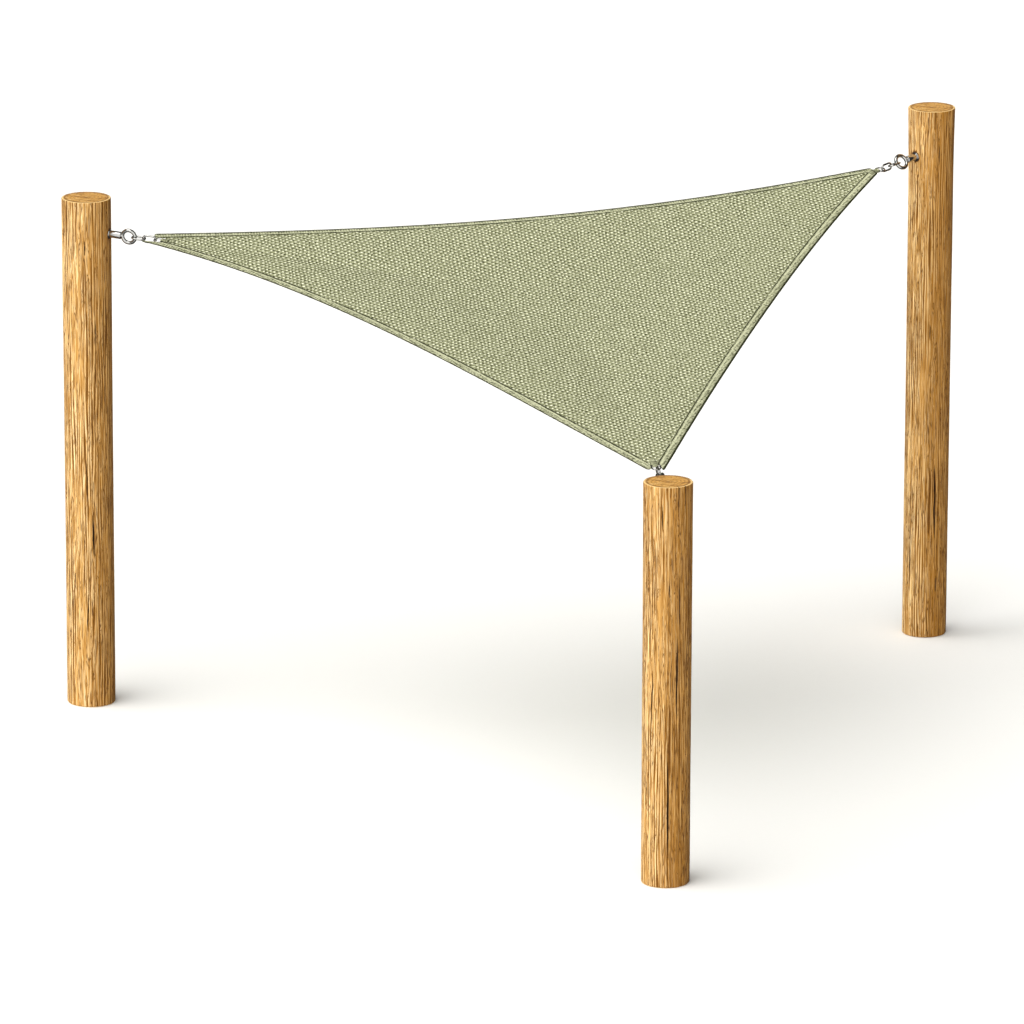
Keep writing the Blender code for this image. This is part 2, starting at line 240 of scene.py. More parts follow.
def eye_frame(corner: Corner) -> Matrix:
    """Find the eye bolt.

    Args:
        corner: Its corner.

    Returns:
        The frame in the middle of its ring, with X pointing away from the post.
    """
    axis = Vector((*corner.post_xy, 0.0))
    way = azimuth(corner.bolt_azimuth)
    bolt_height = on_sail_plane(axis + way * corner.top_radius).z
    ring = on_sail_plane(axis + way * (post_radius(corner, bolt_height) + EYE_REACH))
    return axes(ring, on_sail_plane(ring + way) - ring)


def chain_frame(corner: Corner) -> Matrix:
    """Find the chain.

    Args:
        corner: Its corner.

    Returns:
        The frame with X along the chain that lies EYE_RADIUS behind the far end of the eye.
    """
    far_end = eye_frame(corner) @ Vector((EYE_RADIUS, 0.0, 0.0))
    pull = (on_sail_plane(far_end + azimuth(corner.pull_azimuth)) - on_sail_plane(far_end)).normalized()
    return axes(far_end - pull * EYE_RADIUS, pull)


def edge_point(edge: Edge, share: float) -> Vector:
    """Find a point of a hollow edge.

    Args:
        edge: The edge.
        share: Share of the way between its two apexes.

    Returns:
        The point.
    """
    start = APEX[edge.start]
    end = APEX[edge.end]
    inward = NORMAL.cross(end - start).normalized()
    rise = 4 * share * (1 - share)
    depth = edge.bow * rise * (1 + edge.skew * (1 - 2 * share))
    return start.lerp(end, share) + inward * depth + Vector((0.0, 0.0, -EDGE_SAG * rise ** 2))


def smooth(value: float, low: float, high: float) -> float:
    """Return 0 below low, 1 above high and a soft ramp between them."""
    share = min(max((value - low) / (high - low), 0.0), 1.0)
    return share * share * (3 - 2 * share)


def roughly(x: float, y: float, z: float) -> float:
    """Return smooth noise between about -1 and 1 at a place."""
    return noise.noise(Vector((x, y, z)))


class Signal:
    """A number that varies over a surface: a node's output, on which Python's arithmetic adds Math nodes."""

    def __init__(self, graph: "Nodes", socket: bpy.types.NodeSocket) -> None:
        """Wrap an output socket of a node in a graph."""
        self.graph = graph
        self.socket = socket

    def math(self, operation: str, *values: Any, clamp: bool = False) -> "Signal":
        """Apply one Math node.

        Args:
            operation: The node's operation.
            values: Its inputs in order, with this signal among them.
            clamp: Whether the result is kept between 0 and 1.

        Returns:
            The node's result.
        """
        settings = {"operation": operation, "use_clamp": clamp}
        return self.graph.add("ShaderNodeMath", settings, dict(enumerate(values)))

    def __add__(self, other: Any) -> "Signal":
        """Return the sum."""
        return self.math("ADD", self, other)

    def __radd__(self, other: Any) -> "Signal":
        """Return the sum with a number on the left."""
        return self.math("ADD", other, self)

    def __sub__(self, other: Any) -> "Signal":
        """Return the difference."""
        return self.math("SUBTRACT", self, other)

    def __rsub__(self, other: Any) -> "Signal":
        """Return a number less this signal."""
        return self.math("SUBTRACT", other, self)

    def __mul__(self, other: Any) -> "Signal":
        """Return the product."""
        return self.math("MULTIPLY", self, other)

    def __rmul__(self, other: Any) -> "Signal":
        """Return the product with a number on the left."""
        return self.math("MULTIPLY", other, self)

    def __pow__(self, other: Any) -> "Signal":
        """Return this signal raised to a power."""
        return self.math("POWER", self, other)

    def wave(self) -> "Signal":
        """Return the sine, for a signal in radians."""
        return self.math("SINE", self)

    def size(self) -> "Signal":
        """Return the value without its sign."""
        return self.math("ABSOLUTE", self)

    def clamped(self) -> "Signal":
        """Return the value kept between 0 and 1."""
        return self.math("ADD", self, 0.0, clamp=True)

    def ramp(self, low: float, high: float) -> "Signal":
        """Make a soft step.

        Args:
            low: The value at which the step is 0.
            high: The value at which it is 1, which may be the lower one.

        Returns:
            The step.
        """
        ends = {1: low, 2: high, 3: 0.0, 4: 1.0} if low < high else {1: high, 2: low, 3: 1.0, 4: 0.0}
        return self.graph.add("ShaderNodeMapRange", {"interpolation_type": "SMOOTHSTEP"}, {0: self, **ends})


class Nodes:
    """A node tree, with a method for each kind of node."""

    def __init__(self, tree: bpy.types.NodeTree) -> None:
        """Work on a tree."""
        self.tree = tree

    def add(self, kind: str, settings: dict[str, Any], inputs: dict[Any, Any], output: Any = 0) -> Signal:
        """Add a node.

        Args:
            kind: The node's type.
            settings: Its properties.
            inputs: Values or signals by the name or number of the socket.
            output: Name or number of the output that is wanted.

        Returns:
            That output.
        """
        node = self.tree.nodes.new(kind)
        for key, value in settings.items():
            setattr(node, key, value)
        for key, value in inputs.items():
            self.connect(node.inputs[key], value)
        return Signal(self, node.outputs[output])

    def connect(self, socket: bpy.types.NodeSocket, value: Any) -> None:
        """Link or set an input socket.

        Args:
            socket: The socket.
            value: A signal to link, or a constant.
        """
        if isinstance(value, Signal):
            self.tree.links.new(value.socket, socket)
        elif isinstance(value, tuple) and socket.type == "RGBA":
            socket.default_value = (*value, 1.0)
        else:
            socket.default_value = value

    def coordinates(self, output: str = "Object") -> Signal:
        """Return the piece's own coordinates."""
        return self.add("ShaderNodeTexCoord", {}, {}, output)

    def vector(self, operation: str, *values: Any, output: str = "Vector") -> Signal:
        """Return the Vector or Value output of one Vector Math node."""
        return self.add("ShaderNodeVectorMath", {"operation": operation}, dict(enumerate(values)), output)

    def placed(
        self, vector: Signal, scale: Place, location: Place = (0.0, 0.0, 0.0), turn: float = 0.0,
    ) -> Signal:
        """Centre, turn and stretch coordinates.

        Args:
            vector: The coordinates.
            scale: Factor along each axis, after the turn.
            location: Point that becomes the origin.
            turn: Angle about Z in radians.

        Returns:
            The coordinates in the new frame.
        """
        moved = self.vector("SUBTRACT", vector, location)
        rotation = (0.0, 0.0, turn)
        return self.add("ShaderNodeMapping", {}, {"Vector": moved, "Scale": scale, "Rotation": rotation})

    def noise(
        self, vector: Signal, scale: float, detail: float = 2.0, rough: float = 0.5, bend: float = 0.0,
    ) -> Signal:
        """Return soft noise between 0 and 1."""
        inputs = {"Vector": vector, "Scale": scale, "Detail": detail, "Roughness": rough, "Distortion": bend}
        return self.add("ShaderNodeTexNoise", {}, inputs)

    def mix(self, low: Any, high: Any, share: Any) -> Signal:
        """Return the mix of two colours, which is low where share is 0 and high where it is 1."""
        settings = {"data_type": "RGBA", "clamp_result": True}
        return self.add("ShaderNodeMix", settings, {0: share, 6: low, 7: high}, 2)

    def layered(self, tone: Any, *coats: tuple[Any, Signal]) -> Signal:
        """Lay colours over a first one in turn.

        Args:
            tone: The first colour.
            coats: Pairs of a colour and its share, between 0 and 1.

        Returns:
            The colour on top.
        """
        for colour, share in coats:
            tone = self.mix(tone, colour, share)
        return tone

    def attribute(self, name: str) -> Signal:
        """Return a number that is stored on the mesh."""
        return self.add("ShaderNodeAttribute", {"attribute_name": name}, {}, "Fac")

    def split(self, vector: Signal) -> tuple[Signal, Signal, Signal]:
        """Return the three parts of a vector."""
        node = self.add("ShaderNodeSeparateXYZ", {}, {0: vector}).socket.node
        return tuple(Signal(self, output) for output in node.outputs)

    def bump(self, height: Signal, distance: float, strength: float) -> Signal:
        """Return the surface normal under a height between 0 and 1, which distance turns into metres."""
        inputs = {"Height": height, "Distance": distance, "Strength": strength}
        return self.add("ShaderNodeBump", {}, inputs)


class Graph(Nodes):
    """The node tree of one material."""

    def __init__(self, name: str) -> None:
        """Start a material with its Principled shader and output."""
        self.material = bpy.data.materials.new(name)
        self.material.use_nodes = True
        super().__init__(self.material.node_tree)
        self.shader = self.tree.nodes["Principled BSDF"]

    def finish(self, **sockets: Any) -> bpy.types.Material:
        """Complete the material.

        Args:
            sockets: What the shader's sockets, named with _ for a space, are set or linked to.

        Returns:
            The material.
        """
        for name, value in sockets.items():
            self.connect(self.shader.inputs[name.replace("_", " ")], value)
        return self.material


class SkyGraph(Nodes):
    """The node tree of the world."""

    def __init__(self, name: str) -> None:
        """Start a world with its Background shader and make it the scene's."""
        world = bpy.data.worlds.new(name)
        world.use_nodes = True
        bpy.context.scene.world = world
        super().__init__(world.node_tree)
        self.shader = self.tree.nodes["Background"]


@dataclass(frozen=True)
class LogWood:
    """Peeled and oiled log: long grain and stains, painted highlights on the ridges and painted shade in the
    furrows, paler towards the sun and with painted shade on the side away from it.
    """

    deep: Colour = (0.080, 0.025, 0.002)
    brown: Colour = (0.280, 0.108, 0.003)
    mid: Colour = (0.580, 0.313, 0.087)
    pale: Colour = (0.900, 0.660, 0.345)
    sunny_side: float = -165.0          # azimuth in degrees of the lit side; painted shade falls on the side away from it

    def material(self, corner: Corner) -> bpy.types.Material:
        """Make the finish of one log's side.

        Args:
            corner: The log's corner, on which the finish is centred.

        Returns:
            The finish.
        """
        graph = Graph(f"log_wood_{corner.name}")
        place = graph.coordinates()
        centre = (*corner.post_xy, 0.0)
        coarse = graph.noise(graph.placed(place, (20.0, 20.0, 1.6), centre), 1.0, 3.0, 0.55, 0.6)
        lines = graph.noise(graph.placed(place, (105.0, 105.0, 4.2), centre), 1.0, 1.0, 0.5, 1.5)
        fibre = graph.noise(graph.placed(place, (210.0, 210.0, 8.0), centre), 1.0, 2.0, 0.6, 0.4)
        clouds = graph.noise(graph.placed(place, (7.0, 7.0, 1.3), centre), 1.0, 3.0, 0.6, 0.4)
        relief = graph.attribute("relief")
        moved = graph.placed(place, (1.0, 1.0, 0.0), centre)
        # Painted shade: the side of the log away from sunny_side is browned in its colour, as deep as
        # painted_shade_depth says, and deepened further at the back
        facing = graph.vector("DOT_PRODUCT", moved, tuple(azimuth(self.sunny_side)), output="Value")
        lean = (corner.painted_shade_depth - 0.60) * 0.28
        shady = (facing + (clouds - 0.5) * 0.04).ramp(0.070 + lean, lean - 0.075)
        back = facing.ramp(-0.068, -0.100)
        # ridge_highlight and furrow follow the relief: partly the grain's own tone, partly painted highlight
        # on the ridges and painted shade in the furrows
        ridge_highlight = relief.ramp(0.60, 0.86)
        furrow = relief.ramp(0.40, 0.16)
        thin = (1.0 - (lines - 0.48).size().ramp(0.004, 0.042)) * coarse.ramp(0.30, 0.48)
        low = (lines - 0.37).size().ramp(0.034, 0.006)
        gleam = (lines - 0.57).size().ramp(0.030, 0.006) * coarse.ramp(0.36, 0.54)
        light = (ridge_highlight * 0.66 + fibre.ramp(0.50, 0.62) * 0.50 + gleam * 0.62).clamped()
        tone = graph.layered(
            self.mid,
            (self.pale, light),
            (self.brown, clouds.ramp(0.48, 0.70) * 0.40),
            (self.brown, fibre.ramp(0.47, 0.36) * 0.60),
            # painted shade on the side away from the light, with ridges and light lines kept paler inside
            # it, and deepest at the back
            (self.brown, shady * corner.painted_shade_depth),
            (self.mid, (ridge_highlight * 0.60 + gleam * 0.60) * shady),
            (self.deep, back * 0.42),
            # painted shade in the furrows, deepest where the relief is lowest, partly the grain's own dark
            # lines
            (self.brown, furrow * 0.80),
            (self.deep, relief.ramp(0.30, 0.06) * 0.70),
            (self.deep, thin * 0.88),
            (self.deep, low * 0.80),
        )
        height = fibre * 0.35 + (1.0 - thin) * 0.35 + coarse * 0.3
        normal = graph.bump(height, 0.0018, 0.8)
        roughness = 0.48 + fibre * 0.14 + furrow * 0.14
        return graph.finish(Base_Color=tone, Roughness=roughness, Normal=normal, Specular_IOR_Level=0.16)


@dataclass(frozen=True)
class EndGrain:
    """Sawn end of a log: growth rings round a darker heart, saw streaks, a dark line inside the rim, and a
    painted highlight along the rim that gives way to painted shade over its back part.
    """

    mid: Colour = (0.600, 0.316, 0.072)
    deep: Colour = (0.170, 0.062, 0.010)
    # rim is the colour of the pale saw streaks and of the painted highlight along the rim
    rim: Colour = (0.860, 0.600, 0.260)
    ring_step: float = 0.0170           # from one growth ring to the next

    def material(self, corner: Corner) -> bpy.types.Material:
        """Make the finish of one log's ends.

        Args:
            corner: The log's corner, on which the finish is centred.

        Returns:
            The finish.
        """
        graph = Graph(f"end_grain_{corner.name}")
        centred = graph.placed(graph.coordinates(), (1.0, 1.0, 0.0), (*corner.post_xy, 0.0))
        wobble = graph.noise(centred, 14.0, 3.0, 0.5)
        radius = graph.vector("LENGTH", centred, output="Value")
        reach = radius + (wobble - 0.5) * 0.022
        rings = (reach * (2 * math.pi / self.ring_step)).wave() * 0.5 + 0.5
        speck = graph.noise(graph.placed(centred, (95.0, 48.0, 1.0)), 1.0, 2.0, 0.6)
        saw = graph.noise(graph.placed(centred, (16.0, 46.0, 1.0), turn=0.30), 1.0, 2.0, 0.6)
        heart = reach.ramp(0.044, 0.006)
        inside = (radius - (corner.top_radius - 0.0140)).size().ramp(0.0070, 0.0020)
        # edge marks the rim for the painted highlight along it and the painted shade over its back part
        edge = radius.ramp(corner.top_radius - 0.0120, corner.top_radius - 0.0050)
        _, depth, _ = graph.split(centred)
        tone = graph.layered(
            self.mid,
            (self.deep, rings.ramp(0.50, 1.0) * 0.34),
            (self.deep, heart * 0.24),
            (self.deep, saw.ramp(0.53, 0.66) * 0.74),
            (self.rim, saw.ramp(0.46, 0.32) * 0.60),
            (self.deep, speck.ramp(0.54, 0.68) * 0.66),
            (self.deep, inside * 0.62),
            # painted highlight along the rim, then painted shade over its back part
            (self.rim, edge * 0.85),
            (self.deep, edge * depth.ramp(0.010, 0.060) * 0.85),
        )
        normal = graph.bump(rings * 0.4 + speck * 0.3 + saw * 0.3, 0.0009, 0.8)
        roughness = 0.62 + speck * 0.1
        return graph.finish(Base_Color=tone, Roughness=roughness, Normal=normal, Specular_IOR_Level=0.28)


@dataclass(frozen=True)
class SplitWood:
    """Walls of the drying cracks: rough wood, darkened as painted shade inside the splits."""

    # dark and pale are both painted shade of the splits' depth, far darker than the log's side
    dark: Colour = (0.055, 0.024, 0.008)
    pale: Colour = (0.220, 0.105, 0.036)

    def material(self) -> bpy.types.Material:
        """Make the finish.

        Returns:
            The finish.
        """
        graph = Graph("split_wood")
        torn = graph.noise(graph.placed(graph.coordinates(), (180.0, 180.0, 22.0)), 1.0, 3.0, 0.6)
        # painted shade inside the cracks and the bolt's hole
        tone = graph.mix(self.dark, self.pale, torn.ramp(0.45, 0.75))
        return graph.finish(Base_Color=tone, Roughness=0.85, Normal=graph.bump(torn, 0.001, 0.8))


@dataclass(frozen=True)
class HopsackCloth:
    """Woven cloth: pale weft floats and olive warp floats in turn, with painted shade in the hollow at each
    pale one's end, between the rows and in dark flecks.
    """

    pale: Colour = (0.930, 0.940, 0.720)
    cream: Colour = (0.700, 0.715, 0.505)
    olive: Colour = (0.275, 0.288, 0.158)
    # gap is the painted shade of the weave's hollows
    gap: Colour = (0.026, 0.027, 0.006)
    soil: Colour = (0.220, 0.235, 0.118)
    yarns: int = 3                      # side by side in one float

    def material(self) -> bpy.types.Material:
        """Make the finish, on the UV map that counts the threads.

        Returns:
            The finish.
        """
        graph = Graph("hopsack_cloth")
        threads = graph.coordinates("UV")
        across, along, _ = graph.split(threads)
        place = graph.coordinates()
        patch = graph.noise(place, 26.0, 3.0, 0.65)
        mottle = graph.noise(place, 75.0, 2.0, 0.5)
        yarn = graph.noise(graph.placed(threads, (1.7, 1.7, 1.0)), 2.0, 2.0, 0.6)
        fleck = graph.noise(place, 150.0, 1.0, 0.5)
        row = (along * math.pi).wave()
        wave = (across * math.pi).wave() * row
        ends = ((across - 0.46) * math.pi).wave() * row
        float_up = wave.ramp(0.02, 0.72)
        crossing = ends.ramp(0.10, 0.80)
        contrast = 0.66 + patch.ramp(0.36, 0.60) * 0.34
        tone = graph.layered(
            self.olive,
            (graph.mix(self.pale, self.cream, mottle.ramp(0.42, 0.70)), float_up * contrast),
            # painted shade in the weave's hollows: at the floats' ends, between the rows and in random
            # flecks
            (self.gap, crossing * (0.62 + patch.ramp(0.34, 0.58) * 0.36)),
            (self.gap, (1.0 - row.size()).ramp(0.72, 1.0) * 0.30),
            (self.gap, fleck.ramp(0.53, 0.66) * 0.62),
            (self.pale, fleck.ramp(0.46, 0.32) * 0.24),
            (self.soil, yarn.ramp(0.62, 0.86) * 0.35),
        )
        rate = 2 * math.pi * self.yarns
        ribs = (across * rate).wave() * float_up + (along * rate).wave() * (1.0 - float_up)
        normal = graph.bump(ribs * 0.12 + yarn * 0.3 + float_up * 0.4 - crossing * 0.3, 0.0014, 0.7)
        return graph.finish(Base_Color=tone, Roughness=0.92, Normal=normal, Specular_IOR_Level=0.05)


@dataclass(frozen=True)
class HemCloth:
    """Turned hem: the same cloth folded over, fine ribs across the band, and painted shade along the outer
    fold and in the furrow at its seam.
    """

    pale: Colour = (0.620, 0.632, 0.430)
    olive: Colour = (0.090, 0.098, 0.040)
    shade: Colour = (0.018, 0.021, 0.006)
    crest: Colour = (0.640, 0.655, 0.440)
    crest_line: float = 0.0310          # of the light line beside the furrow, from the outer fold
    rib_step: float = 0.0125
    cross_step: float = 0.0150
    rim: float = 0.0040                 # breadth of the painted shade along the outer fold
    furrow: float = 0.0036              # half breadth of the painted shade in the furrow along the seam

    def material(self) -> bpy.types.Material:
        """Make the finish, on the UV map that gives metres along and across the band.

        Returns:
            The finish.
        """
        graph = Graph(f"hem_cloth_{round(self.rim * 10000)}")
        metres = graph.coordinates("UV")
        along, across, _ = graph.split(metres)
        uneven = graph.noise(graph.placed(metres, (34.0, 60.0, 1.0)), 1.0, 2.0, 0.5)
        coarse = graph.noise(graph.placed(metres, (70.0, 90.0, 1.0)), 1.0, 2.0, 0.6)
        ribs = (along * (2 * math.pi / self.rib_step) + uneven * 6.0).wave() * 0.5 + 0.5
        cross = (across * (2 * math.pi / self.cross_step) + along * 60.0 + uneven * 3.0).wave() * 0.5 + 0.5
        patch = graph.noise(graph.coordinates(), 11.0, 3.0, 0.6)
        from_seam = (across - SEAM_LINE).size()
        tone = graph.layered(
            self.olive,
            (self.pale, ribs * 0.55 + cross * 0.30 + patch.ramp(0.35, 0.65) * 0.25),
            (self.shade, coarse.ramp(0.48, 0.62) * 0.74),
            # painted shade along the outer fold and in the seam's furrow
            (self.shade, across.ramp(self.rim, self.rim * 0.5) * 0.97),
            (self.crest, (across - self.crest_line).size().ramp(0.0050, 0.0020) * 0.55),
            (self.shade, from_seam.ramp(self.furrow * 1.5, self.furrow * 0.75) * 0.96),
        )
        normal = graph.bump(ribs * 0.6 + cross * 0.2 + coarse * 0.4, 0.0011, 0.8)
        return graph.finish(Base_Color=tone, Roughness=0.92, Normal=normal, Specular_IOR_Level=0.05)


@dataclass(frozen=True)
class SewingThread:
    """Dark olive sewing thread."""

    dark: Colour = (0.050, 0.056, 0.022)
    pale: Colour = (0.105, 0.115, 0.052)

    def material(self) -> bpy.types.Material:
        """Make the finish.

        Returns:
            The finish.
        """
        graph = Graph("sewing_thread")
        twist = graph.noise(graph.coordinates(), 900.0, 2.0, 0.5)
        tone = graph.mix(self.dark, self.pale, twist.ramp(0.4, 0.7))
        return graph.finish(Base_Color=tone, Roughness=0.8, Normal=graph.bump(twist, 0.0003, 0.7))


@dataclass(frozen=True)
class BrightSteel:
    """Polished steel with faint rubbed patches."""

    clean: Colour = (0.640, 0.640, 0.630)
    dull: Colour = (0.260, 0.258, 0.250)

    def material(self) -> bpy.types.Material:
        """Make the finish.

        Returns:
            The finish.
        """
        graph = Graph("bright_steel")
        place = graph.coordinates()
        rubbed = graph.noise(place, 55.0, 3.0, 0.6)
        scratch = graph.noise(graph.placed(place, (260.0, 900.0, 420.0)), 1.0, 2.0, 0.6)
        tone = graph.mix(self.clean, self.dull, rubbed.ramp(0.46, 0.80) * 0.6)
        roughness = 0.06 + rubbed * 0.10 + scratch.ramp(0.5, 0.8) * 0.08
        normal = graph.bump(scratch * 0.5 + rubbed * 0.5, 0.0002, 0.5)
        return graph.finish(Base_Color=tone, Metallic=1.0, Roughness=roughness, Normal=normal)


class Bench:
    """Modelling by hand: one piece at a time, with all else deselected."""

    @staticmethod
    def alone(obj: bpy.types.Object) -> bpy.types.Object:
        """Select one object only and make it active.

        Args:
            obj: The object.

        Returns:
            The same object.
        """
        bpy.ops.object.select_all(action="DESELECT")
        obj.select_set(True)
        bpy.context.view_layer.objects.active = obj
        return obj

    @staticmethod
    def start(name: str, primitive: Callable[..., Any], **settings: Any) -> bpy.types.Object:
        """Add a primitive.

        Args:
            name: The new object's name.
            primitive: The operator that adds it.
            settings: The operator's settings.

        Returns:
            The new object, selected alone.
        """
        bpy.ops.object.select_all(action="DESELECT")
        primitive(**settings)
        obj = bpy.context.view_layer.objects.active
        obj.name = name
        obj.data.name = name
        return obj

    @staticmethod
    def edit(
        obj: bpy.types.Object, kind: str, wanted: Callable[[Any], bool], *steps: tuple[Any, dict],
    ) -> None:
        """Run edit-mode operators on part of a mesh.

        Args:
            obj: The object.
            kind: VERT, EDGE or FACE.
            wanted: Says which of them are selected.
            steps: Pairs of an operator and its settings.
        """
        Bench.alone(obj)
        bpy.ops.object.mode_set(mode="EDIT")
        bpy.ops.mesh.select_mode(type=kind)
        bpy.ops.mesh.select_all(action="DESELECT")
        shape = bmesh.from_edit_mesh(obj.data)
        for item in {"VERT": shape.verts, "EDGE": shape.edges, "FACE": shape.faces}[kind]:
            if wanted(item):
                item.select_set(True)
        bmesh.update_edit_mesh(obj.data)
        for operator, settings in steps:
            operator(**settings)
        bpy.ops.object.mode_set(mode="OBJECT")

    @staticmethod
    def settle(obj: bpy.types.Object, matrix: Matrix = Matrix.Identity(4)) -> bpy.types.Object:
        """Put an object's place into its mesh.

        Args:
            obj: The object.
            matrix: A frame to which its mesh is moved as well.

        Returns:
            The object, which is then at the origin.
        """
        Bench.alone(obj)
        bpy.ops.object.transform_apply(location=True, rotation=True, scale=True)
        obj.data.transform(matrix)
        obj.data.update()
        return obj

    @staticmethod
    def apply(obj: bpy.types.Object, kind: str, **settings: Any) -> bpy.types.Object:
        """Add a modifier and apply it.

        Args:
            obj: The object.
            kind: The modifier's type.
            settings: Its settings.

        Returns:
            The object.
        """
        modifier = obj.modifiers.new(kind.lower(), kind)
        for key, value in settings.items():
            setattr(modifier, key, value)
        Bench.alone(obj)
        bpy.ops.object.modifier_apply(modifier=modifier.name)
        return obj

    @staticmethod
    def combine(obj: bpy.types.Object, other: bpy.types.Object, operation: str) -> bpy.types.Object:
        """Cut or join an object with another.

        Args:
            obj: The object.
            other: The other one, which is used up.
            operation: DIFFERENCE or UNION.

        Returns:
            The object.
        """
        settings = {"solver": "EXACT", "material_mode": "TRANSFER"}
        Bench.apply(obj, "BOOLEAN", operation=operation, object=other, **settings)
        bpy.data.objects.remove(other)
        return obj

    @staticmethod
    def join(name: str, pieces: Sequence[bpy.types.Object]) -> bpy.types.Object:
        """Join several objects into one.

        Args:
            name: The name that it gets.
            pieces: The objects.

        Returns:
            The joined object.
        """
        bpy.ops.object.select_all(action="DESELECT")
        for piece in pieces:
            piece.select_set(True)
        bpy.context.view_layer.objects.active = pieces[0]
        bpy.ops.object.join()
        pieces[0].name = name
        return pieces[0]

    @staticmethod
    def place(name: str, data: bpy.types.ID, matrix: Matrix = Matrix.Identity(4)) -> bpy.types.Object:
        """Put a mesh, light or camera into the scene.

        Args:
            name: The new object's name.
            data: The mesh, light or camera.
            matrix: Its place.

        Returns:
            The new object.
        """
        obj = bpy.data.objects.new(name, data)
        obj.matrix_world = matrix
        bpy.context.scene.collection.objects.link(obj)
        return obj

    @staticmethod
    def cast(name: str, shape: bmesh.types.BMesh) -> bpy.types.Object:
        """Turn a bmesh, which is used up, into an object.

        Args:
            name: The new object's name.
            shape: The bmesh.

        Returns:
            The new object.
        """
        mesh = bpy.data.meshes.new(name)
        shape.to_mesh(mesh)
        shape.free()
        return Bench.place(name, mesh)

    @staticmethod
    def unwrap(obj: bpy.types.Object, name: str, places: Sequence[Any]) -> None:
        """Give a mesh a UV map.

        Args:
            obj: The object.
            name: The map's name.
            places: The place of each vertex in it.
        """
        layer = obj.data.uv_layers.new(name=name)
        for loop in obj.data.loops:
            layer.data[loop.index].uv = places[loop.vertex_index]

    @staticmethod
    def swept(name: str, rings: Sequence[Sequence[Vector]], closed: bool = False) -> bpy.types.Object:
        """Make a mesh from rings of points.

        Args:
            name: The new object's name.
            rings: Closed rings with as many points each.
            closed: Whether the last ring is joined to the first; if not, both ends are capped.

        Returns:
            The new object.
        """
        shape = bmesh.new()
        rows = [[shape.verts.new(point) for point in ring] for ring in rings]
        pairs = list(zip(rows, rows[1:])) + ([(rows[-1], rows[0])] if closed else [])
        for low, high in pairs:
            for i, j in zip(range(len(low)), [*range(1, len(low)), 0]):
                shape.faces.new((low[i], low[j], high[j], high[i]))
        if not closed:
            shape.faces.new(rows[0])
            shape.faces.new(rows[-1])
        bmesh.ops.recalc_face_normals(shape, faces=shape.faces)
        return Bench.cast(name, shape)

    @staticmethod
    def deliver(
        obj: bpy.types.Object, slot: Slot, nodes: Sequence[str], smooth_below: float = 40.0,
        material: bpy.types.Material | None = None,
    ) -> None:
        """Shade a finished piece, hand it to the frame and report it.

        Args:
            obj: The piece.
            slot: The record's material slot; not used.
            nodes: CAD nodes that it stands for.
            smooth_below: Degrees between two faces that are shaded as one.
            material: Its finish, unless it has its finishes already.
        """
        if material:
            obj.data.materials.clear()
            obj.data.materials.append(material)
        Bench.alone(obj)
        bpy.ops.object.shade_smooth_by_angle(angle=math.radians(smooth_below))
        obj.data.calc_loop_triangles()
        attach(obj, "root")
        if nodes:
            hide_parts(*nodes)
        LOG.info("%s: %d triangles", obj.name, len(obj.data.loop_triangles))


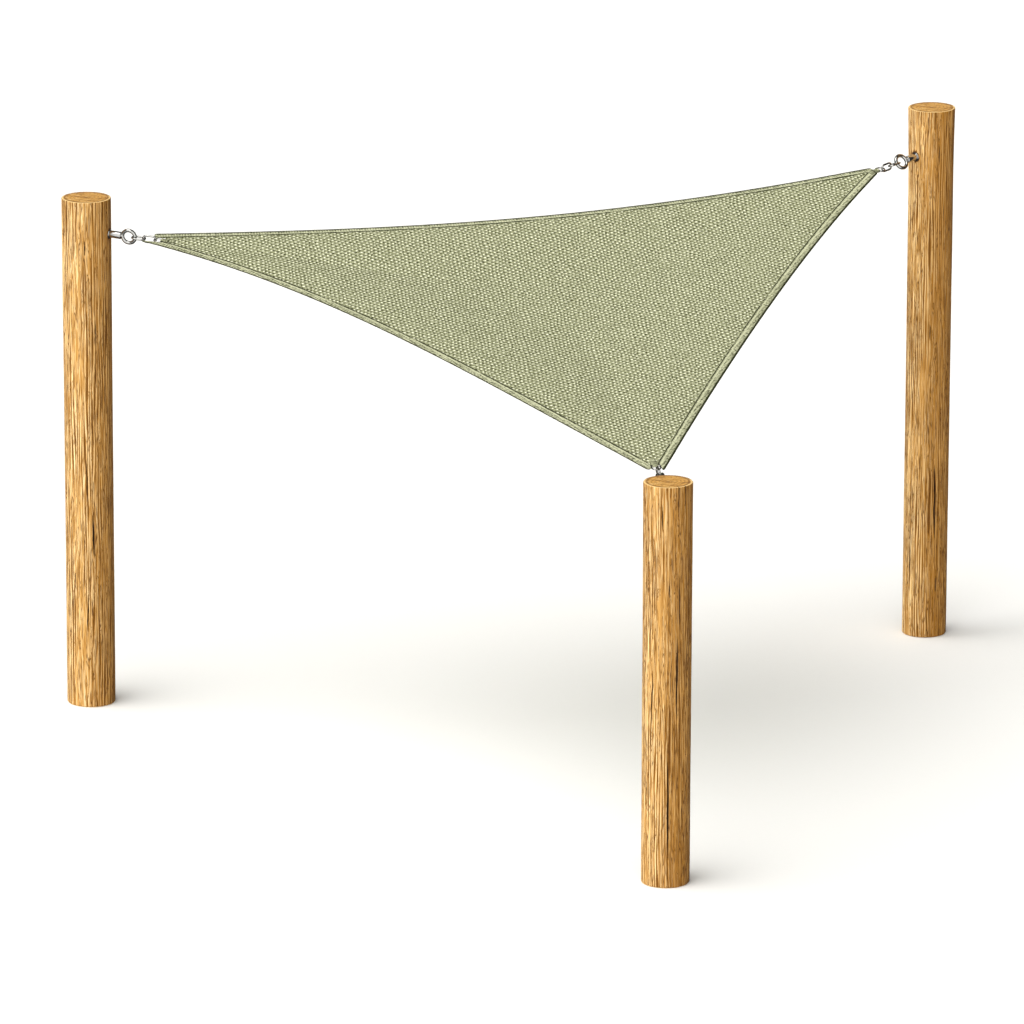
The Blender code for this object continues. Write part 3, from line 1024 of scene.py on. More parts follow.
@dataclass
class LogPost:
    """One round log post with its grain, its drying cracks and the hole for the eye bolt."""

    corner: Corner
    sides: int = 360
    row_cuts: tuple[int, int] = (12, 12)    # cuts of the side's length, one after the other
    top_edge: float = 0.0045                # roundness of the rims
    foot_edge: float = 0.0080
    rings: tuple[float, ...] = (0.005, 0.012, 0.018, 0.024, 0.024)  # insets of the ends
    lump: float = 0.0014                    # height of the broad unevenness
    flute: float = 0.0009
    stroke: float = 0.0009
    lines: int = 56                         # ridges round the log
    seat_radius: float = 0.0245
    seat_depth: float = 0.003
    hole_radius: float = 0.0083
    hole_length: float = 0.0903
    crack_steps: int = 26
    proud: float = 0.0035                   # how far a crack's wedge stands out of the log
    ease: float = 0.002                     # keeps a shallow crack from opening too wide there

    def relief(self, way: Vector, height: float) -> tuple[float, float]:
        """Work out the log's unevenness.

        Args:
            way: Level unit vector from the log's axis.
            height: Height above the ground.

        Returns:
            The rise above the plain log in metres, and a share from 0 to 1 for the finish.
        """
        seed = 7.3 * len(self.corner.name)
        x, y = way.x * self.corner.foot_radius, way.y * self.corner.foot_radius
        lump = roughly(x * 7.0 + seed, y * 7.0, height * 0.8)
        broad = roughly(x * 26.0, y * 26.0 + seed, height * 1.5)
        narrow = roughly(x * 62.0 + seed, y * 62.0, height * 3.6)
        tiny = roughly(x * 130.0, y * 130.0 + seed, height * 7.0)
        phase = self.lines * math.atan2(way.y, way.x) + 5.2 * broad + 3.6 * narrow + 1.2 * tiny
        shown = smooth(roughly(x * 15.0, y * 15.0, height * 2.1 + seed), -0.42, 0.12)
        stroke = math.sin(phase) * (0.25 + 0.75 * shown)
        rise = self.lump * lump + self.flute * broad + self.stroke * stroke
        return rise, min(max(0.5 + 0.46 * stroke + 0.22 * tiny + 0.10 * broad, 0.0), 1.0)

    def build_body(self) -> bpy.types.Object:
        """Shape the log from a cylinder, with rounded rims, rings on its ends and rows along its side.

        Returns:
            The plain log.
        """
        c = self.corner
        log = Bench.start(
            f"log_{c.name}", bpy.ops.mesh.primitive_cylinder_add, vertices=self.sides, radius=c.foot_radius,
            depth=c.height, end_fill_type="NGON", location=(*c.post_xy, c.height / 2),
        )
        Bench.settle(log)
        for level, offset in ((c.height, self.top_edge), (0.0, self.foot_edge)):
            Bench.edit(
                log, "EDGE", lambda e: all(abs(v.co.z - level) < 1e-5 for v in e.verts),
                (bpy.ops.mesh.bevel, {"offset": offset, "segments": 4, "affect": "EDGES"}),
            )
        for cuts in self.row_cuts:
            Bench.edit(
                log, "EDGE", lambda e: abs(e.verts[0].co.z - e.verts[1].co.z) > 0.05,
                (bpy.ops.mesh.subdivide, {"number_cuts": cuts}),
            )
        insets = [(bpy.ops.mesh.inset, {"thickness": step}) for step in self.rings]
        for way in (1.0, -1.0):
            Bench.edit(log, "FACE", lambda f: f.normal.z * way > 0.99, *insets, (bpy.ops.mesh.poke, {}))
        return log

    def weather(self, log: bpy.types.Object) -> None:
        """Move the log's skin to its flare and its relief, and store the relief for the finish.

        Args:
            log: The plain log.
        """
        c = self.corner
        middle = Vector((*c.post_xy, 0.0))
        shares = []
        for vertex in log.data.vertices:
            out = vertex.co - middle
            height = out.z
            out.z = 0.0
            radius = out.length
            if radius < 1e-6:
                shares.append(0.5)
                continue
            rise, share = self.relief(out / radius, height)
            grow = (post_radius(c, height) + rise) / c.foot_radius
            vertex.co = middle + out * grow + Vector((0.0, 0.0, height))
            if height > c.height - 0.0005:
                vertex.co.z -= 0.0006 + 0.0006 * roughly(out.x * 60.0, out.y * 25.0, 3.0)
            shares.append(share)
        stored = log.data.attributes.new("relief", "FLOAT", "POINT")
        stored.data.foreach_set("value", shares)

    def dress(self, log: bpy.types.Object) -> None:
        """Give the side and the sawn ends their finishes.

        Args:
            log: The log.
        """
        log.data.materials.append(LogWood().material(self.corner))
        log.data.materials.append(EndGrain().material(self.corner))
        for face in log.data.polygons:
            face.material_index = 1 if abs(face.normal.z) > 0.75 else 0

    def crack_cutter(self, crack: Crack, number: int) -> bpy.types.Object:
        """Shape one wavy wedge that splits the log's skin, pointed at both ends unless it starts at the top.

        Args:
            crack: The crack.
            number: Its number on this log.

        Returns:
            The wedge.
        """
        wedge = Bench.start(
            f"split_{number}", bpy.ops.mesh.primitive_cylinder_add, vertices=3, radius=1.0, depth=1.0,
        )
        Bench.edit(
            wedge, "EDGE", lambda e: abs(e.verts[0].co.z - e.verts[1].co.z) > 0.5,
            (bpy.ops.mesh.subdivide, {"number_cuts": self.crack_steps}),
        )
        middle = Vector((*self.corner.post_xy, 0.0))
        for vertex in wedge.data.vertices:
            share = vertex.co.z + 0.5
            swell = math.sin(math.pi * share)
            if crack.height >= self.corner.height:
                swell = math.cos(math.pi * share / 2)
            swell = max(swell, 0.0)
            ragged = 1.0 + 0.35 * roughly(share * 9.0, number * 3.1, 0.0)
            width = 0.0004 + crack.width * ragged * swell ** 0.75
            depth = 0.0012 + 2.6 * crack.width * swell ** 0.6
            height = crack.height + (crack.height_end - crack.height) * share
            radius = post_radius(self.corner, height)
            wander = crack.wave * (math.sin(2 * math.pi * share) + roughly(share * 6.0, number, 5.0))
            angle = crack.azimuth + (crack.azimuth_end - crack.azimuth) * share
            angle += math.degrees(wander / radius)
            if vertex.co.y > 0.5:
                vertex.co = middle + azimuth(angle) * (radius - depth) + Vector((0.0, 0.0, height))
                continue
            reach = radius + self.proud
            spread = width * (1 + self.proud / (depth + self.ease)) / 2
            turn = math.degrees(spread / reach) * (1 if vertex.co.x > 0 else -1)
            vertex.co = middle + azimuth(angle + turn) * reach + Vector((0.0, 0.0, height))
        Bench.edit(wedge, "FACE", lambda f: True, (bpy.ops.mesh.normals_make_consistent, {"inside": False}))
        return wedge

    def bore_cutter(self) -> bpy.types.Object:
        """Shape the washer's seat and the bolt's hole as one turned form.

        Returns:
            The form to cut away.
        """
        seat = -EYE_REACH - self.seat_depth
        profile = (
            (seat - self.hole_length, self.hole_radius), (seat, self.hole_radius), (seat, self.seat_radius),
            (-EYE_REACH / 2, self.seat_radius),
        )
        rings = []
        for x, radius in profile:
            turns = (2 * math.pi * i / 64 for i in range(64))
            rings.append([Vector((x, radius * math.cos(a), radius * math.sin(a))) for a in turns])
        return Bench.settle(Bench.swept(f"bore_{self.corner.name}", rings), eye_frame(self.corner))

    def build(self, split_wood: bpy.types.Material) -> None:
        """Build, dress and deliver the log.

        Args:
            split_wood: Finish of the cracks' and the hole's walls.
        """
        log = self.build_body()
        self.weather(log)
        self.dress(log)
        wedges = [self.crack_cutter(crack, i) for i, crack in enumerate(CRACKS[self.corner.name])]
        cutter = Bench.settle(Bench.join(f"splits_{self.corner.name}", wedges))
        cutter.data.materials.append(split_wood)
        Bench.combine(log, cutter, "DIFFERENCE")
        bore = self.bore_cutter()
        bore.data.materials.append(split_wood)
        Bench.combine(log, bore, "DIFFERENCE")
        Bench.deliver(log, Slot.WOOD, [f"post_{self.corner.name}"])


@dataclass
class Studio:
    """Plain pale floor, soft light from the upper left front, and the camera."""

    image: int = 1024
    focal_pixels: float = 9000.0
    sensor: float = 36.0
    eye: Place = (-0.0057, -39.3098, 12.2135)
    pitch: float = 15.745               # degrees below level
    roll: float = 0.139
    floor_radius: float = 220.0
    floor_colour: Colour = (0.876, 0.876, 0.871)
    floor_speck: Colour = (0.866, 0.866, 0.859)
    light_way: Place = (-0.83, -0.68, 2.1)     # towards the key light
    light_strength: float = 1.42
    light_angle: float = 50.0           # breadth of the key light in degrees
    light_colour: Colour = (1.0, 0.985, 0.955)
    sky: Colour = (1.0, 0.988, 0.950)
    sky_strength: float = 0.700
    side_glow: float = 0.95             # how much brighter the sky is on the light's side
    glow_height: float = 0.25           # rise of the way to its brightest part
    front_screen: tuple[float, float] = (-0.50, -0.86)     # bright screens that only polished steel shows
    back_screen: tuple[float, float] = (0.90, 0.98)
    screen_strength: float = 1.15

    def add_camera(self) -> None:
        """Add the camera at the photograph's angle."""
        data = bpy.data.cameras.new("camera")
        data.sensor_width = self.sensor
        data.lens = self.sensor * self.focal_pixels / self.image
        data.clip_start = 1.0
        data.clip_end = 1000.0
        pitch = Matrix.Rotation(math.radians(90.0 - self.pitch), 4, "X")
        roll = Matrix.Rotation(math.radians(self.roll), 4, "Z")
        place = Matrix.Translation(self.eye) @ pitch @ roll
        bpy.context.scene.camera = Bench.place("camera", data, place)

    def add_floor(self) -> None:
        """Add the plain pale floor."""
        floor = Bench.start(
            "floor", bpy.ops.mesh.primitive_circle_add, vertices=96, radius=self.floor_radius,
            fill_type="NGON", location=(0.0, 0.0, -0.0002),
        )
        graph = Graph("pale_floor")
        grain = graph.noise(graph.coordinates(), 40.0, 2.0, 0.5)
        tone = graph.mix(self.floor_colour, self.floor_speck, grain.ramp(0.4, 0.7) * 0.4)
        floor.data.materials.append(graph.finish(Base_Color=tone, Roughness=0.9, Specular_IOR_Level=0.0))
        floor.visible_glossy = False

    def add_light(self) -> None:
        """Add the broad key light."""
        data = bpy.data.lights.new("key_light", "SUN")
        data.energy = self.light_strength
        data.angle = math.radians(self.light_angle)
        data.color = self.light_colour
        turn = Vector(self.light_way).to_track_quat("Z", "Y")
        Bench.place("key_light", data, turn.to_matrix().to_4x4())

    def add_sky(self) -> None:
        """Add the even sky, brighter on the light's side, with two bright screens that only steel shows."""
        graph = SkyGraph("studio")
        way = graph.coordinates("Generated")
        glow = tuple(Vector((*self.light_way[:2], self.glow_height)).normalized())
        facing = graph.vector("DOT_PRODUCT", way, glow, output="Value")
        _, behind, height = graph.split(way)
        path = graph.add("ShaderNodeLightPath", {}, {}, "Is Glossy Ray")
        lit = (behind.ramp(*self.front_screen) + behind.ramp(*self.back_screen)).clamped()
        level = self.sky_strength * (1.0 + self.side_glow * facing) ** 2.0 * (1.30 - 0.62 * height)
        seen = (lit * 0.96 + 0.04) * self.screen_strength
        graph.connect(graph.shader.inputs["Color"], self.sky)
        graph.connect(graph.shader.inputs["Strength"], level * (1.0 - path) + seen * path)

    def build(self) -> None:
        """Set up the floor, the lights, the sky and the camera."""
        self.add_camera()
        self.add_floor()
        self.add_light()
        self.add_sky()
        bpy.context.scene.view_settings.view_transform = "Standard"


@dataclass
class HungShape:
    """The surface in which the sail hangs, as a height over every place in plan."""

    steps: int = 500
    crease_height: float = 0.0022       # of the folds that run out from each corner
    crease_reach: float = 0.42
    batch: int = 4000                   # places that are measured at a time
    stride: int = 4                     # of the rim's points that they are measured from
    angles: np.ndarray = field(init=False)
    reach: np.ndarray = field(init=False)
    fold: np.ndarray = field(init=False)
    drop: np.ndarray = field(init=False)
    rims: dict[Edge, np.ndarray] = field(init=False)

    def __post_init__(self) -> None:
        """Work out the tables of the edge and of the hem's fold by the angle round the middle."""
        rows = []
        self.rims = {}
        for edge in EDGES:
            points = [edge_point(edge, i / self.steps) for i in range(self.steps + 1)]
            self.rims[edge] = np.array(points)
            for i, point in enumerate(points[:-1]):
                along = (points[i + 1] - points[max(i - 1, 0)]).normalized()
                to_centre = CENTRE - point
                pace = 1.0 / max(to_centre.dot(NORMAL.cross(along)), 0.5 * to_centre.length)
                rise = 4 * i / self.steps * (1 - i / self.steps)
                angle = math.atan2(-to_centre.y, -to_centre.x)
                away = to_centre.xy.length
                rows.append((angle, away, away * (1 - (HEM_WIDTH + HEM_STEP) * pace), EDGE_SAG * rise ** 2))
        rows.sort()
        before = (rows[-1][0] - 2 * math.pi, *rows[-1][1:])
        after = (rows[0][0] + 2 * math.pi, *rows[0][1:])
        self.angles, self.reach, self.fold, self.drop = np.array([before, *rows, after]).T

    def heights(self, places: np.ndarray) -> np.ndarray:
        """Work out the heights of the surface.

        Args:
            places: Array of (x, y) places.

        Returns:
            The height over each.
        """
        x, y = places[:, 0] - CENTRE.x, places[:, 1] - CENTRE.y
        angle = np.arctan2(y, x)
        away = np.hypot(x, y)
        tables = (self.reach, self.fold, self.drop)
        reach, fold, drop = (np.interp(angle, self.angles, table) for table in tables)
        share = np.minimum(away / fold, 1.0)
        plane = CENTRE.z - (x * NORMAL.x + y * NORMAL.y) / NORMAL.z
        surface = plane - drop * away / reach - MIDDLE_SAG * (1 - share ** 2) ** 2
        for corner in CORNERS:
            dx, dy = places[:, 0] - corner.apex[0], places[:, 1] - corner.apex[1]
            distance = np.hypot(dx, dy)
            turn = np.arctan2(dy, dx) - math.radians(corner.pull_azimuth)
            fade = np.exp(-((distance / self.crease_reach) ** 2)) * np.clip((1.0 - share) / 0.05, 0.0, 1.0)
            surface += self.crease_height * np.sin(turn * 26.0 + 0.6) * fade
        return surface

    def at(self, point: Vector) -> Vector:
        """Return the point of the surface straight above or below a point."""
        height = self.heights(np.array([[point.x, point.y]]))[0]
        return Vector((point.x, point.y, float(height)))

    def inset(self, places: np.ndarray) -> np.ndarray:
        """Measure how far inside the sail's edges places lie.

        Args:
            places: Array of (x, y) places.

        Returns:
            The distance of each in metres, below 0 outside.
        """
        depth = np.full(len(places), 9.0)
        for rim in self.rims.values():
            along = np.gradient(rim[:, :2], axis=0)
            along /= np.linalg.norm(along, axis=1)[:, None]
            for i in range(0, len(places), self.batch):
                part = slice(i, i + self.batch)
                gap = places[part, None, :] - rim[None, ::self.stride, :2]
                nearest = np.argmin((gap ** 2).sum(axis=2), axis=1)
                rows = np.arange(len(nearest))
                way = along[::self.stride][nearest]
                inward = way[:, 0] * gap[rows, nearest, 1] - way[:, 1] * gap[rows, nearest, 0]
                depth[part] = np.minimum(depth[part], inward)
        return depth


@dataclass
class ClothField:
    """The woven cloth inside the hem: every crossing of the weave is a small pillow."""

    shape: HungShape
    weft_angle: float = 11.0            # degrees from +X
    warp_angle: float = 96.0
    weft_pitch: float = 0.0171
    warp_pitch: float = 0.0151
    count: tuple[int, int] = (272, 268)
    hidden_edge: float = 0.016          # how far the cloth stays inside the hem's outer edge
    bar_gap: float = 0.012              # from the D-ring's bar to the cloth
    corner_reach: float = 0.3           # distance from an apex within which that bar counts
    nudge: float = 0.0005               # step in which the way to the hidden edge is measured
    rounds: int = 3                     # in which the outer points are drawn to it
    merge: float = 0.0012               # distance below which two of them become one
    wander: float = 0.0120
    calm: float = 0.050                 # breadth along the edges over which the wander fades
    pillow: float = 0.0005              # rise of the pale floats above the olive ones
    thick: float = 0.0027
    thin_share: float = 0.45

    def weave_frame(self) -> Matrix:
        """Set up the weave.

        Returns:
            The matrix from thread counts to metres in plan.
        """
        weft = azimuth(self.weft_angle) * self.weft_pitch
        warp = azimuth(self.warp_angle) * self.warp_pitch
        rows = ((weft.x, warp.x, 0, CENTRE.x), (weft.y, warp.y, 0, CENTRE.y), (0, 0, 1, 0), (0, 0, 0, 1))
        return Matrix(rows)

    def lay_threads(self) -> bpy.types.Object:
        """Lay a grid along the threads, cut it along the hidden edge and put a point into each crossing.

        Returns:
            The flat cloth.
        """
        cloth = Bench.start(
            "sail_cloth", bpy.ops.mesh.primitive_grid_add, x_subdivisions=self.count[0],
            y_subdivisions=self.count[1], size=1.0, location=(0.0, 0.0, 0.0),
        )
        cloth.scale = (self.count[0], self.count[1], 1.0)
        Bench.settle(cloth, self.weave_frame())
        places = np.array([vertex.co.xy for vertex in cloth.data.vertices])
        inside = self.margin(places) > 0.0
        kept: set[int] = set()
        for face in cloth.data.polygons:
            if any(inside[i] for i in face.vertices):
                kept.update(face.vertices)
        remove = (bpy.ops.mesh.delete, {"type": "VERT"})
        Bench.edit(cloth, "VERT", lambda v: v.index not in kept, remove)
        self.draw_in(cloth)
        merge = (bpy.ops.mesh.remove_doubles, {"threshold": self.merge})
        Bench.edit(cloth, "VERT", lambda v: True, merge)
        Bench.edit(cloth, "FACE", lambda f: True, (bpy.ops.mesh.poke, {}))
        return cloth

    def margin(self, places: np.ndarray) -> np.ndarray:
        """Measure how far inside the cloth's hidden edge places lie.

        Args:
            places: Array of (x, y) places.

        Returns:
            The distance of each in metres, below 0 outside.
        """
        margin = self.shape.inset(places) - self.hidden_edge
        for corner in CORNERS:
            into = chain_frame(corner).inverted()
            away = np.hypot(*(places - np.array(corner.apex[:2])).T)
            for i in np.nonzero(away < self.corner_reach)[0]:
                local = into @ self.shape.at(Vector((*places[i], 0.0)))
                margin[i] = min(margin[i], local.x - D_STRAIGHT - self.bar_gap)
        return margin

    def draw_in(self, cloth: bpy.types.Object) -> None:
        """Draw the points that lie past the hidden edge back to it, so that the cloth ends along the hem.

        Args:
            cloth: The flat cloth.
        """
        places = np.array([vertex.co.xy for vertex in cloth.data.vertices])
        for _ in range(self.rounds):
            past = np.nonzero(self.margin(places) < 0.0)[0]
            spots = places[past]
            here = self.margin(spots)
            rises = [self.margin(spots + way) - here for way in np.eye(2) * self.nudge]
            slope = np.stack(rises, axis=1) / self.nudge
            steepness = np.maximum((slope ** 2).sum(axis=1), 0.25)
            places[past] -= slope * (here / steepness)[:, None]
        for vertex, (x, y) in zip(cloth.data.vertices, places):
            vertex.co.x, vertex.co.y = x, y

    def hang(self, cloth: bpy.types.Object) -> None:
        """Count the threads in a UV map, then hang the cloth with its pillows and its wander.

        Args:
            cloth: The flat cloth.
        """
        mesh = cloth.data
        places = np.array([vertex.co.xy for vertex in mesh.vertices])
        back = self.weave_frame().inverted()
        counts = [(back @ Vector((x, y, 0.0))).xy for x, y in places]
        while mesh.uv_layers:
            mesh.uv_layers.remove(mesh.uv_layers[0])
        Bench.unwrap(cloth, "threads", counts)
        heights = self.shape.heights(places)
        loose = self.wander * np.clip(0.3 + self.margin(places) / self.calm, 0.3, 1.0)
        middles, crossings = [], []
        for vertex, count, height, wander in zip(mesh.vertices, counts, heights, loose.tolist()):
            x, y = vertex.co.xy
            middle = abs(count.x % 1.0 - 0.5) < 0.25
            (middles if middle else crossings).append(vertex.index)
            up = (math.floor(count.x) + math.floor(count.y)) % 2 * 2 - 1 if middle else 0
            broad = roughly(x * 5.5, y * 5.5, 2.0)
            side = roughly(x * 5.5, y * 5.5, 31.0)
            local = roughly(x * 17.0, y * 17.0, 9.0)
            fine = roughly(x * 38.0, y * 38.0, 19.0)
            shift_x = wander * (0.50 * broad + 0.62 * local + 0.26 * fine)
            shift_y = wander * (0.50 * side - 0.54 * local + 0.28 * fine)
            vertex.co = (x + shift_x, y + shift_y, height + up * self.pillow + 0.0012 * broad)
        group = cloth.vertex_groups.new(name="pillows")
        group.add(middles, 1.0, "REPLACE")
        group.add(crossings, self.thin_share, "REPLACE")
        settings = {"thickness": self.thick, "offset": 0.0, "vertex_group": group.name, "use_rim": True}
        Bench.apply(cloth, "SOLIDIFY", **settings)

    def build(self) -> bpy.types.Object:
        """Build, dress and deliver the cloth.

        Returns:
            The cloth.
        """
        cloth = self.lay_threads()
        self.hang(cloth)
        Bench.deliver(cloth, Slot.CLOTH, ["sail"], 60.0, HopsackCloth().material())
        return cloth


@dataclass
class Seam:
    """A row of stitches, modelled once and copied along a path."""

    half_length: float = 0.0030
    half_width: float = 0.0012
    half_height: float = 0.0007
    pitch: float = 0.0080

    def stitch(self) -> bpy.types.Mesh:
        """Shape one stitch from a small ball.

        Returns:
            The stitch, with X along it.
        """
        ball = Bench.start(
            "stitch", bpy.ops.mesh.primitive_uv_sphere_add, segments=6, ring_count=4, radius=1.0,
        )
        turn = Matrix.Rotation(math.pi / 2, 4, "Y")
        size = Matrix.Diagonal((self.half_length, self.half_width, self.half_height, 1.0))
        ball.data.transform(size @ turn)
        mesh = ball.data
        bpy.data.objects.remove(ball)
        return mesh

    def sew(self, name: str, rows: Sequence[Sequence[tuple[Vector, Vector]]]) -> bpy.types.Object:
        """Copy the stitch along rows of (point, up) pairs.

        Args:
            name: The new piece's name.
            rows: Paths through the middles of the stitches' ends, with the cloth's outward direction.

        Returns:
            The seam as one object.
        """
        stitch = self.stitch()
        shape = bmesh.new()
        for row in rows:
            run = 0.0
            for (start, up), (end, _) in zip(row, row[1:]):
                length = (end - start).length
                while run <= length and length > 1e-9:
                    along = (end - start) / length
                    side = up.cross(along).normalized()
                    copy = stitch.copy()
                    copy.transform(basis(along, side, start + along * run))
                    shape.from_mesh(copy)
                    bpy.data.meshes.remove(copy)
                    run += self.pitch
                run -= length
        bpy.data.meshes.remove(stitch)
        return Bench.cast(name, shape)


# Section of the turned hem, from its outer fold: (inward, up) in metres, over the top and back below
HEM_SECTION: Outline = [
    (0.0, 0.0), (0.0003, 0.0011), (0.001, 0.0019), (0.0022, 0.0023), (0.0042, 0.0022), (0.0075, 0.0018),
    (0.015, 0.0019), (0.024, 0.002), (0.033, 0.002), (0.0385, 0.0018), (0.0402, 0.0013),
    (0.0415, 0.0011), (0.0428, 0.0013), (0.0445, 0.0019), (0.0468, 0.0018), (0.048, 0.0008),
    (0.048, -0.0008), (0.0468, -0.0017), (0.044, -0.0018), (0.0415, -0.0013), (0.0385, -0.0018),
    (0.026, -0.002), (0.012, -0.0019), (0.0042, -0.0021), (0.0022, -0.0022), (0.001, -0.0018),
    (0.0003, -0.0011),
]
SEAM_LINE = 0.0415              # of the stitches, inward from the outer fold


@dataclass
class Hem:
    """The turned hem of one edge, with its seam."""

    edge: Edge
    shape: HungShape
    stations: int = 330
    tip: float = 0.016                  # length over which the band's ends are rounded
    tip_middle: float = 0.017           # across the band
    overlap: tuple[float, float] = (0.10, 0.24)     # distances from the apex over which its lift fades
    tip_stations: tuple[float, ...] = (0.0008, 0.002, 0.004, 0.0065, 0.010, 0.016)
    tip_span: float = 0.020             # length at each end that has those stations
    tip_width: float = 0.30             # share of its width that the band keeps at its end
    tip_height: float = 0.45            # and of its height
    pucker: float = 0.0005
    notch_start: float = -0.16          # of the cut for a D-ring, from its bar
    notch_end: float = 0.009
    notch_half_width: float = 0.0235
    notch_half_height: float = 0.03
    seam_clear: float = 0.004           # from the notch to the stitches
    seam_start: float = 0.012           # from the band's end to the first stitch
    seam_top: float = 0.0015            # height of the upper stitches above the cloth's middle
    seam_bottom: float = -0.0017

    def name(self) -> str:
        """Return the edge's name."""
        return f"{self.edge.start}_{self.edge.end}"

    def length(self) -> float:
        """Return the straight distance between the two apexes."""
        return (APEX[self.edge.end] - APEX[self.edge.start]).length

    def corners(self) -> list[Corner]:
        """Return the corners at both ends."""
        return [corner for corner in CORNERS if corner.name in (self.edge.start, self.edge.end)]

    def station(self, share: float) -> tuple[Vector, Vector, Vector, float]:
        """Find one station of the hem.

        Args:
            share: Share of the way between the apexes.

        Returns:
            The edge's point, its inward and its upward direction, and the hem's lift.
        """
        point = edge_point(self.edge, share)
        along = (edge_point(self.edge, share + 0.001) - edge_point(self.edge, share - 0.001)).normalized()
        inward = NORMAL.cross(along).normalized()
        from_start = (point - APEX[self.edge.start]).length
        from_end = (point - APEX[self.edge.end]).length
        lift = self.edge.lift[0] * (1 - smooth(from_start, *self.overlap))
        lift += self.edge.lift[1] * (1 - smooth(from_end, *self.overlap))
        return point, inward, along.cross(inward), lift

    def shares(self) -> list[float]:
        """Place the stations, closer together near both ends.

        Returns:
            Their shares of the way between the apexes.
        """
        length = self.length()
        first = self.edge.cut_start / length
        last = 1 - self.edge.cut_end / length
        span = length - self.edge.cut_start - self.edge.cut_end
        steps = (i / self.stations for i in range(self.stations + 1))
        middle = [self.tip_span + (length - 2 * self.tip_span) * step for step in steps]
        runs = [0.0, *self.tip_stations, *(run for run in middle if run < span - self.tip_span)]
        runs += [*(span - run for run in reversed(self.tip_stations)), span]
        return [first + (last - first) * run / span for run in runs]

    def band(self) -> bpy.types.Object:
        """Sweep the hem's section along the edge, with metres along and across it in a UV map.

        Returns:
            The hem.
        """
        rings, runs = [], []
        shares = self.shares()
        length = self.length()
        for share in shares:
            point, inward, up, lift = self.station(share)
            run = share * length
            from_tip = min(share - shares[0], shares[-1] - share) * length
            ratio = min(from_tip / self.tip, 1.0)
            narrow = self.tip_width + (1 - self.tip_width) * math.sqrt(1 - (1 - ratio) ** 2)
            flat = self.tip_height + (1 - self.tip_height) * min(from_tip / 0.004, 1.0)
            ring = []
            for across, height in HEM_SECTION:
                place = point + inward * (self.tip_middle + (across - self.tip_middle) * narrow)
                wave = self.pucker * roughly(run * 42.0, across * 30.0, 3.0)
                ring.append(self.shape.at(place) + up * (height * flat + wave + lift))
            rings.append(ring)
            runs.append(run)
        hem = Bench.swept(f"hem_{self.name()}", rings)
        Bench.unwrap(hem, "metres", [(run, across) for run in runs for across, _ in HEM_SECTION])
        return hem

    def cut_notches(self, hem: bpy.types.Object) -> None:
        """Cut the hem's ends clear of the D-rings.

        Args:
            hem: The hem.
        """
        low, high = -self.notch_half_height, self.notch_half_height
        notch = (
            (self.notch_start, low), (self.notch_end, low), (self.notch_end, high), (self.notch_start, high),
        )
        for corner in self.corners():
            place = chain_frame(corner) @ Matrix.Translation((D_STRAIGHT, 0.0, 0.0))
            sides = (-self.notch_half_width, self.notch_half_width)
            rings = [[place @ Vector((x, side, z)) for x, z in notch] for side in sides]
            Bench.combine(hem, Bench.swept(f"notch_{corner.name}", rings), "DIFFERENCE")

    def in_notch(self, point: Vector) -> bool:
        """Tell whether a point lies where the hem is cut clear of a D-ring.

        Args:
            point: The point.

        Returns:
            Whether it does, or lies too near for a stitch.
        """
        for corner in self.corners():
            spot = chain_frame(corner).inverted() @ point
            beside = abs(spot.y) < self.notch_half_width + self.seam_clear
            if beside and spot.x - D_STRAIGHT < self.notch_end + self.seam_clear:
                return True
        return False

    def seam(self) -> bpy.types.Object:
        """Sew the hem on both sides of the cloth.

        Returns:
            All its stitches as one object.
        """
        rows: list[list[tuple[Vector, Vector]]] = [[], []]
        done: list[list[tuple[Vector, Vector]]] = []
        shares = self.shares()
        for share in shares:
            if min(share - shares[0], shares[-1] - share) * self.length() < self.seam_start:
                continue
            point, inward, up, lift = self.station(share)
            foot = self.shape.at(point + inward * SEAM_LINE)
            if self.in_notch(foot):
                done += rows
                rows = [[], []]
                continue
            rows[0].append((foot + up * (self.seam_top + lift), up))
            rows[1].append((foot + up * (self.seam_bottom + lift), -up))
        return Seam().sew(f"seam_{self.name()}", done + rows)

    def build(self, cloth: bpy.types.Material, thread: bpy.types.Material) -> list[bpy.types.Object]:
        """Build, dress and deliver the hem and its seam.

        Args:
            cloth: Finish of the hem.
            thread: Finish of the seam.

        Returns:
            Both pieces.
        """
        hem = self.band()
        self.cut_notches(hem)
        Bench.deliver(hem, Slot.CLOTH, [], 50.0, cloth)
        seam = self.seam()
        Bench.deliver(seam, Slot.CLOTH, [], 80.0, thread)
        return [hem, seam]


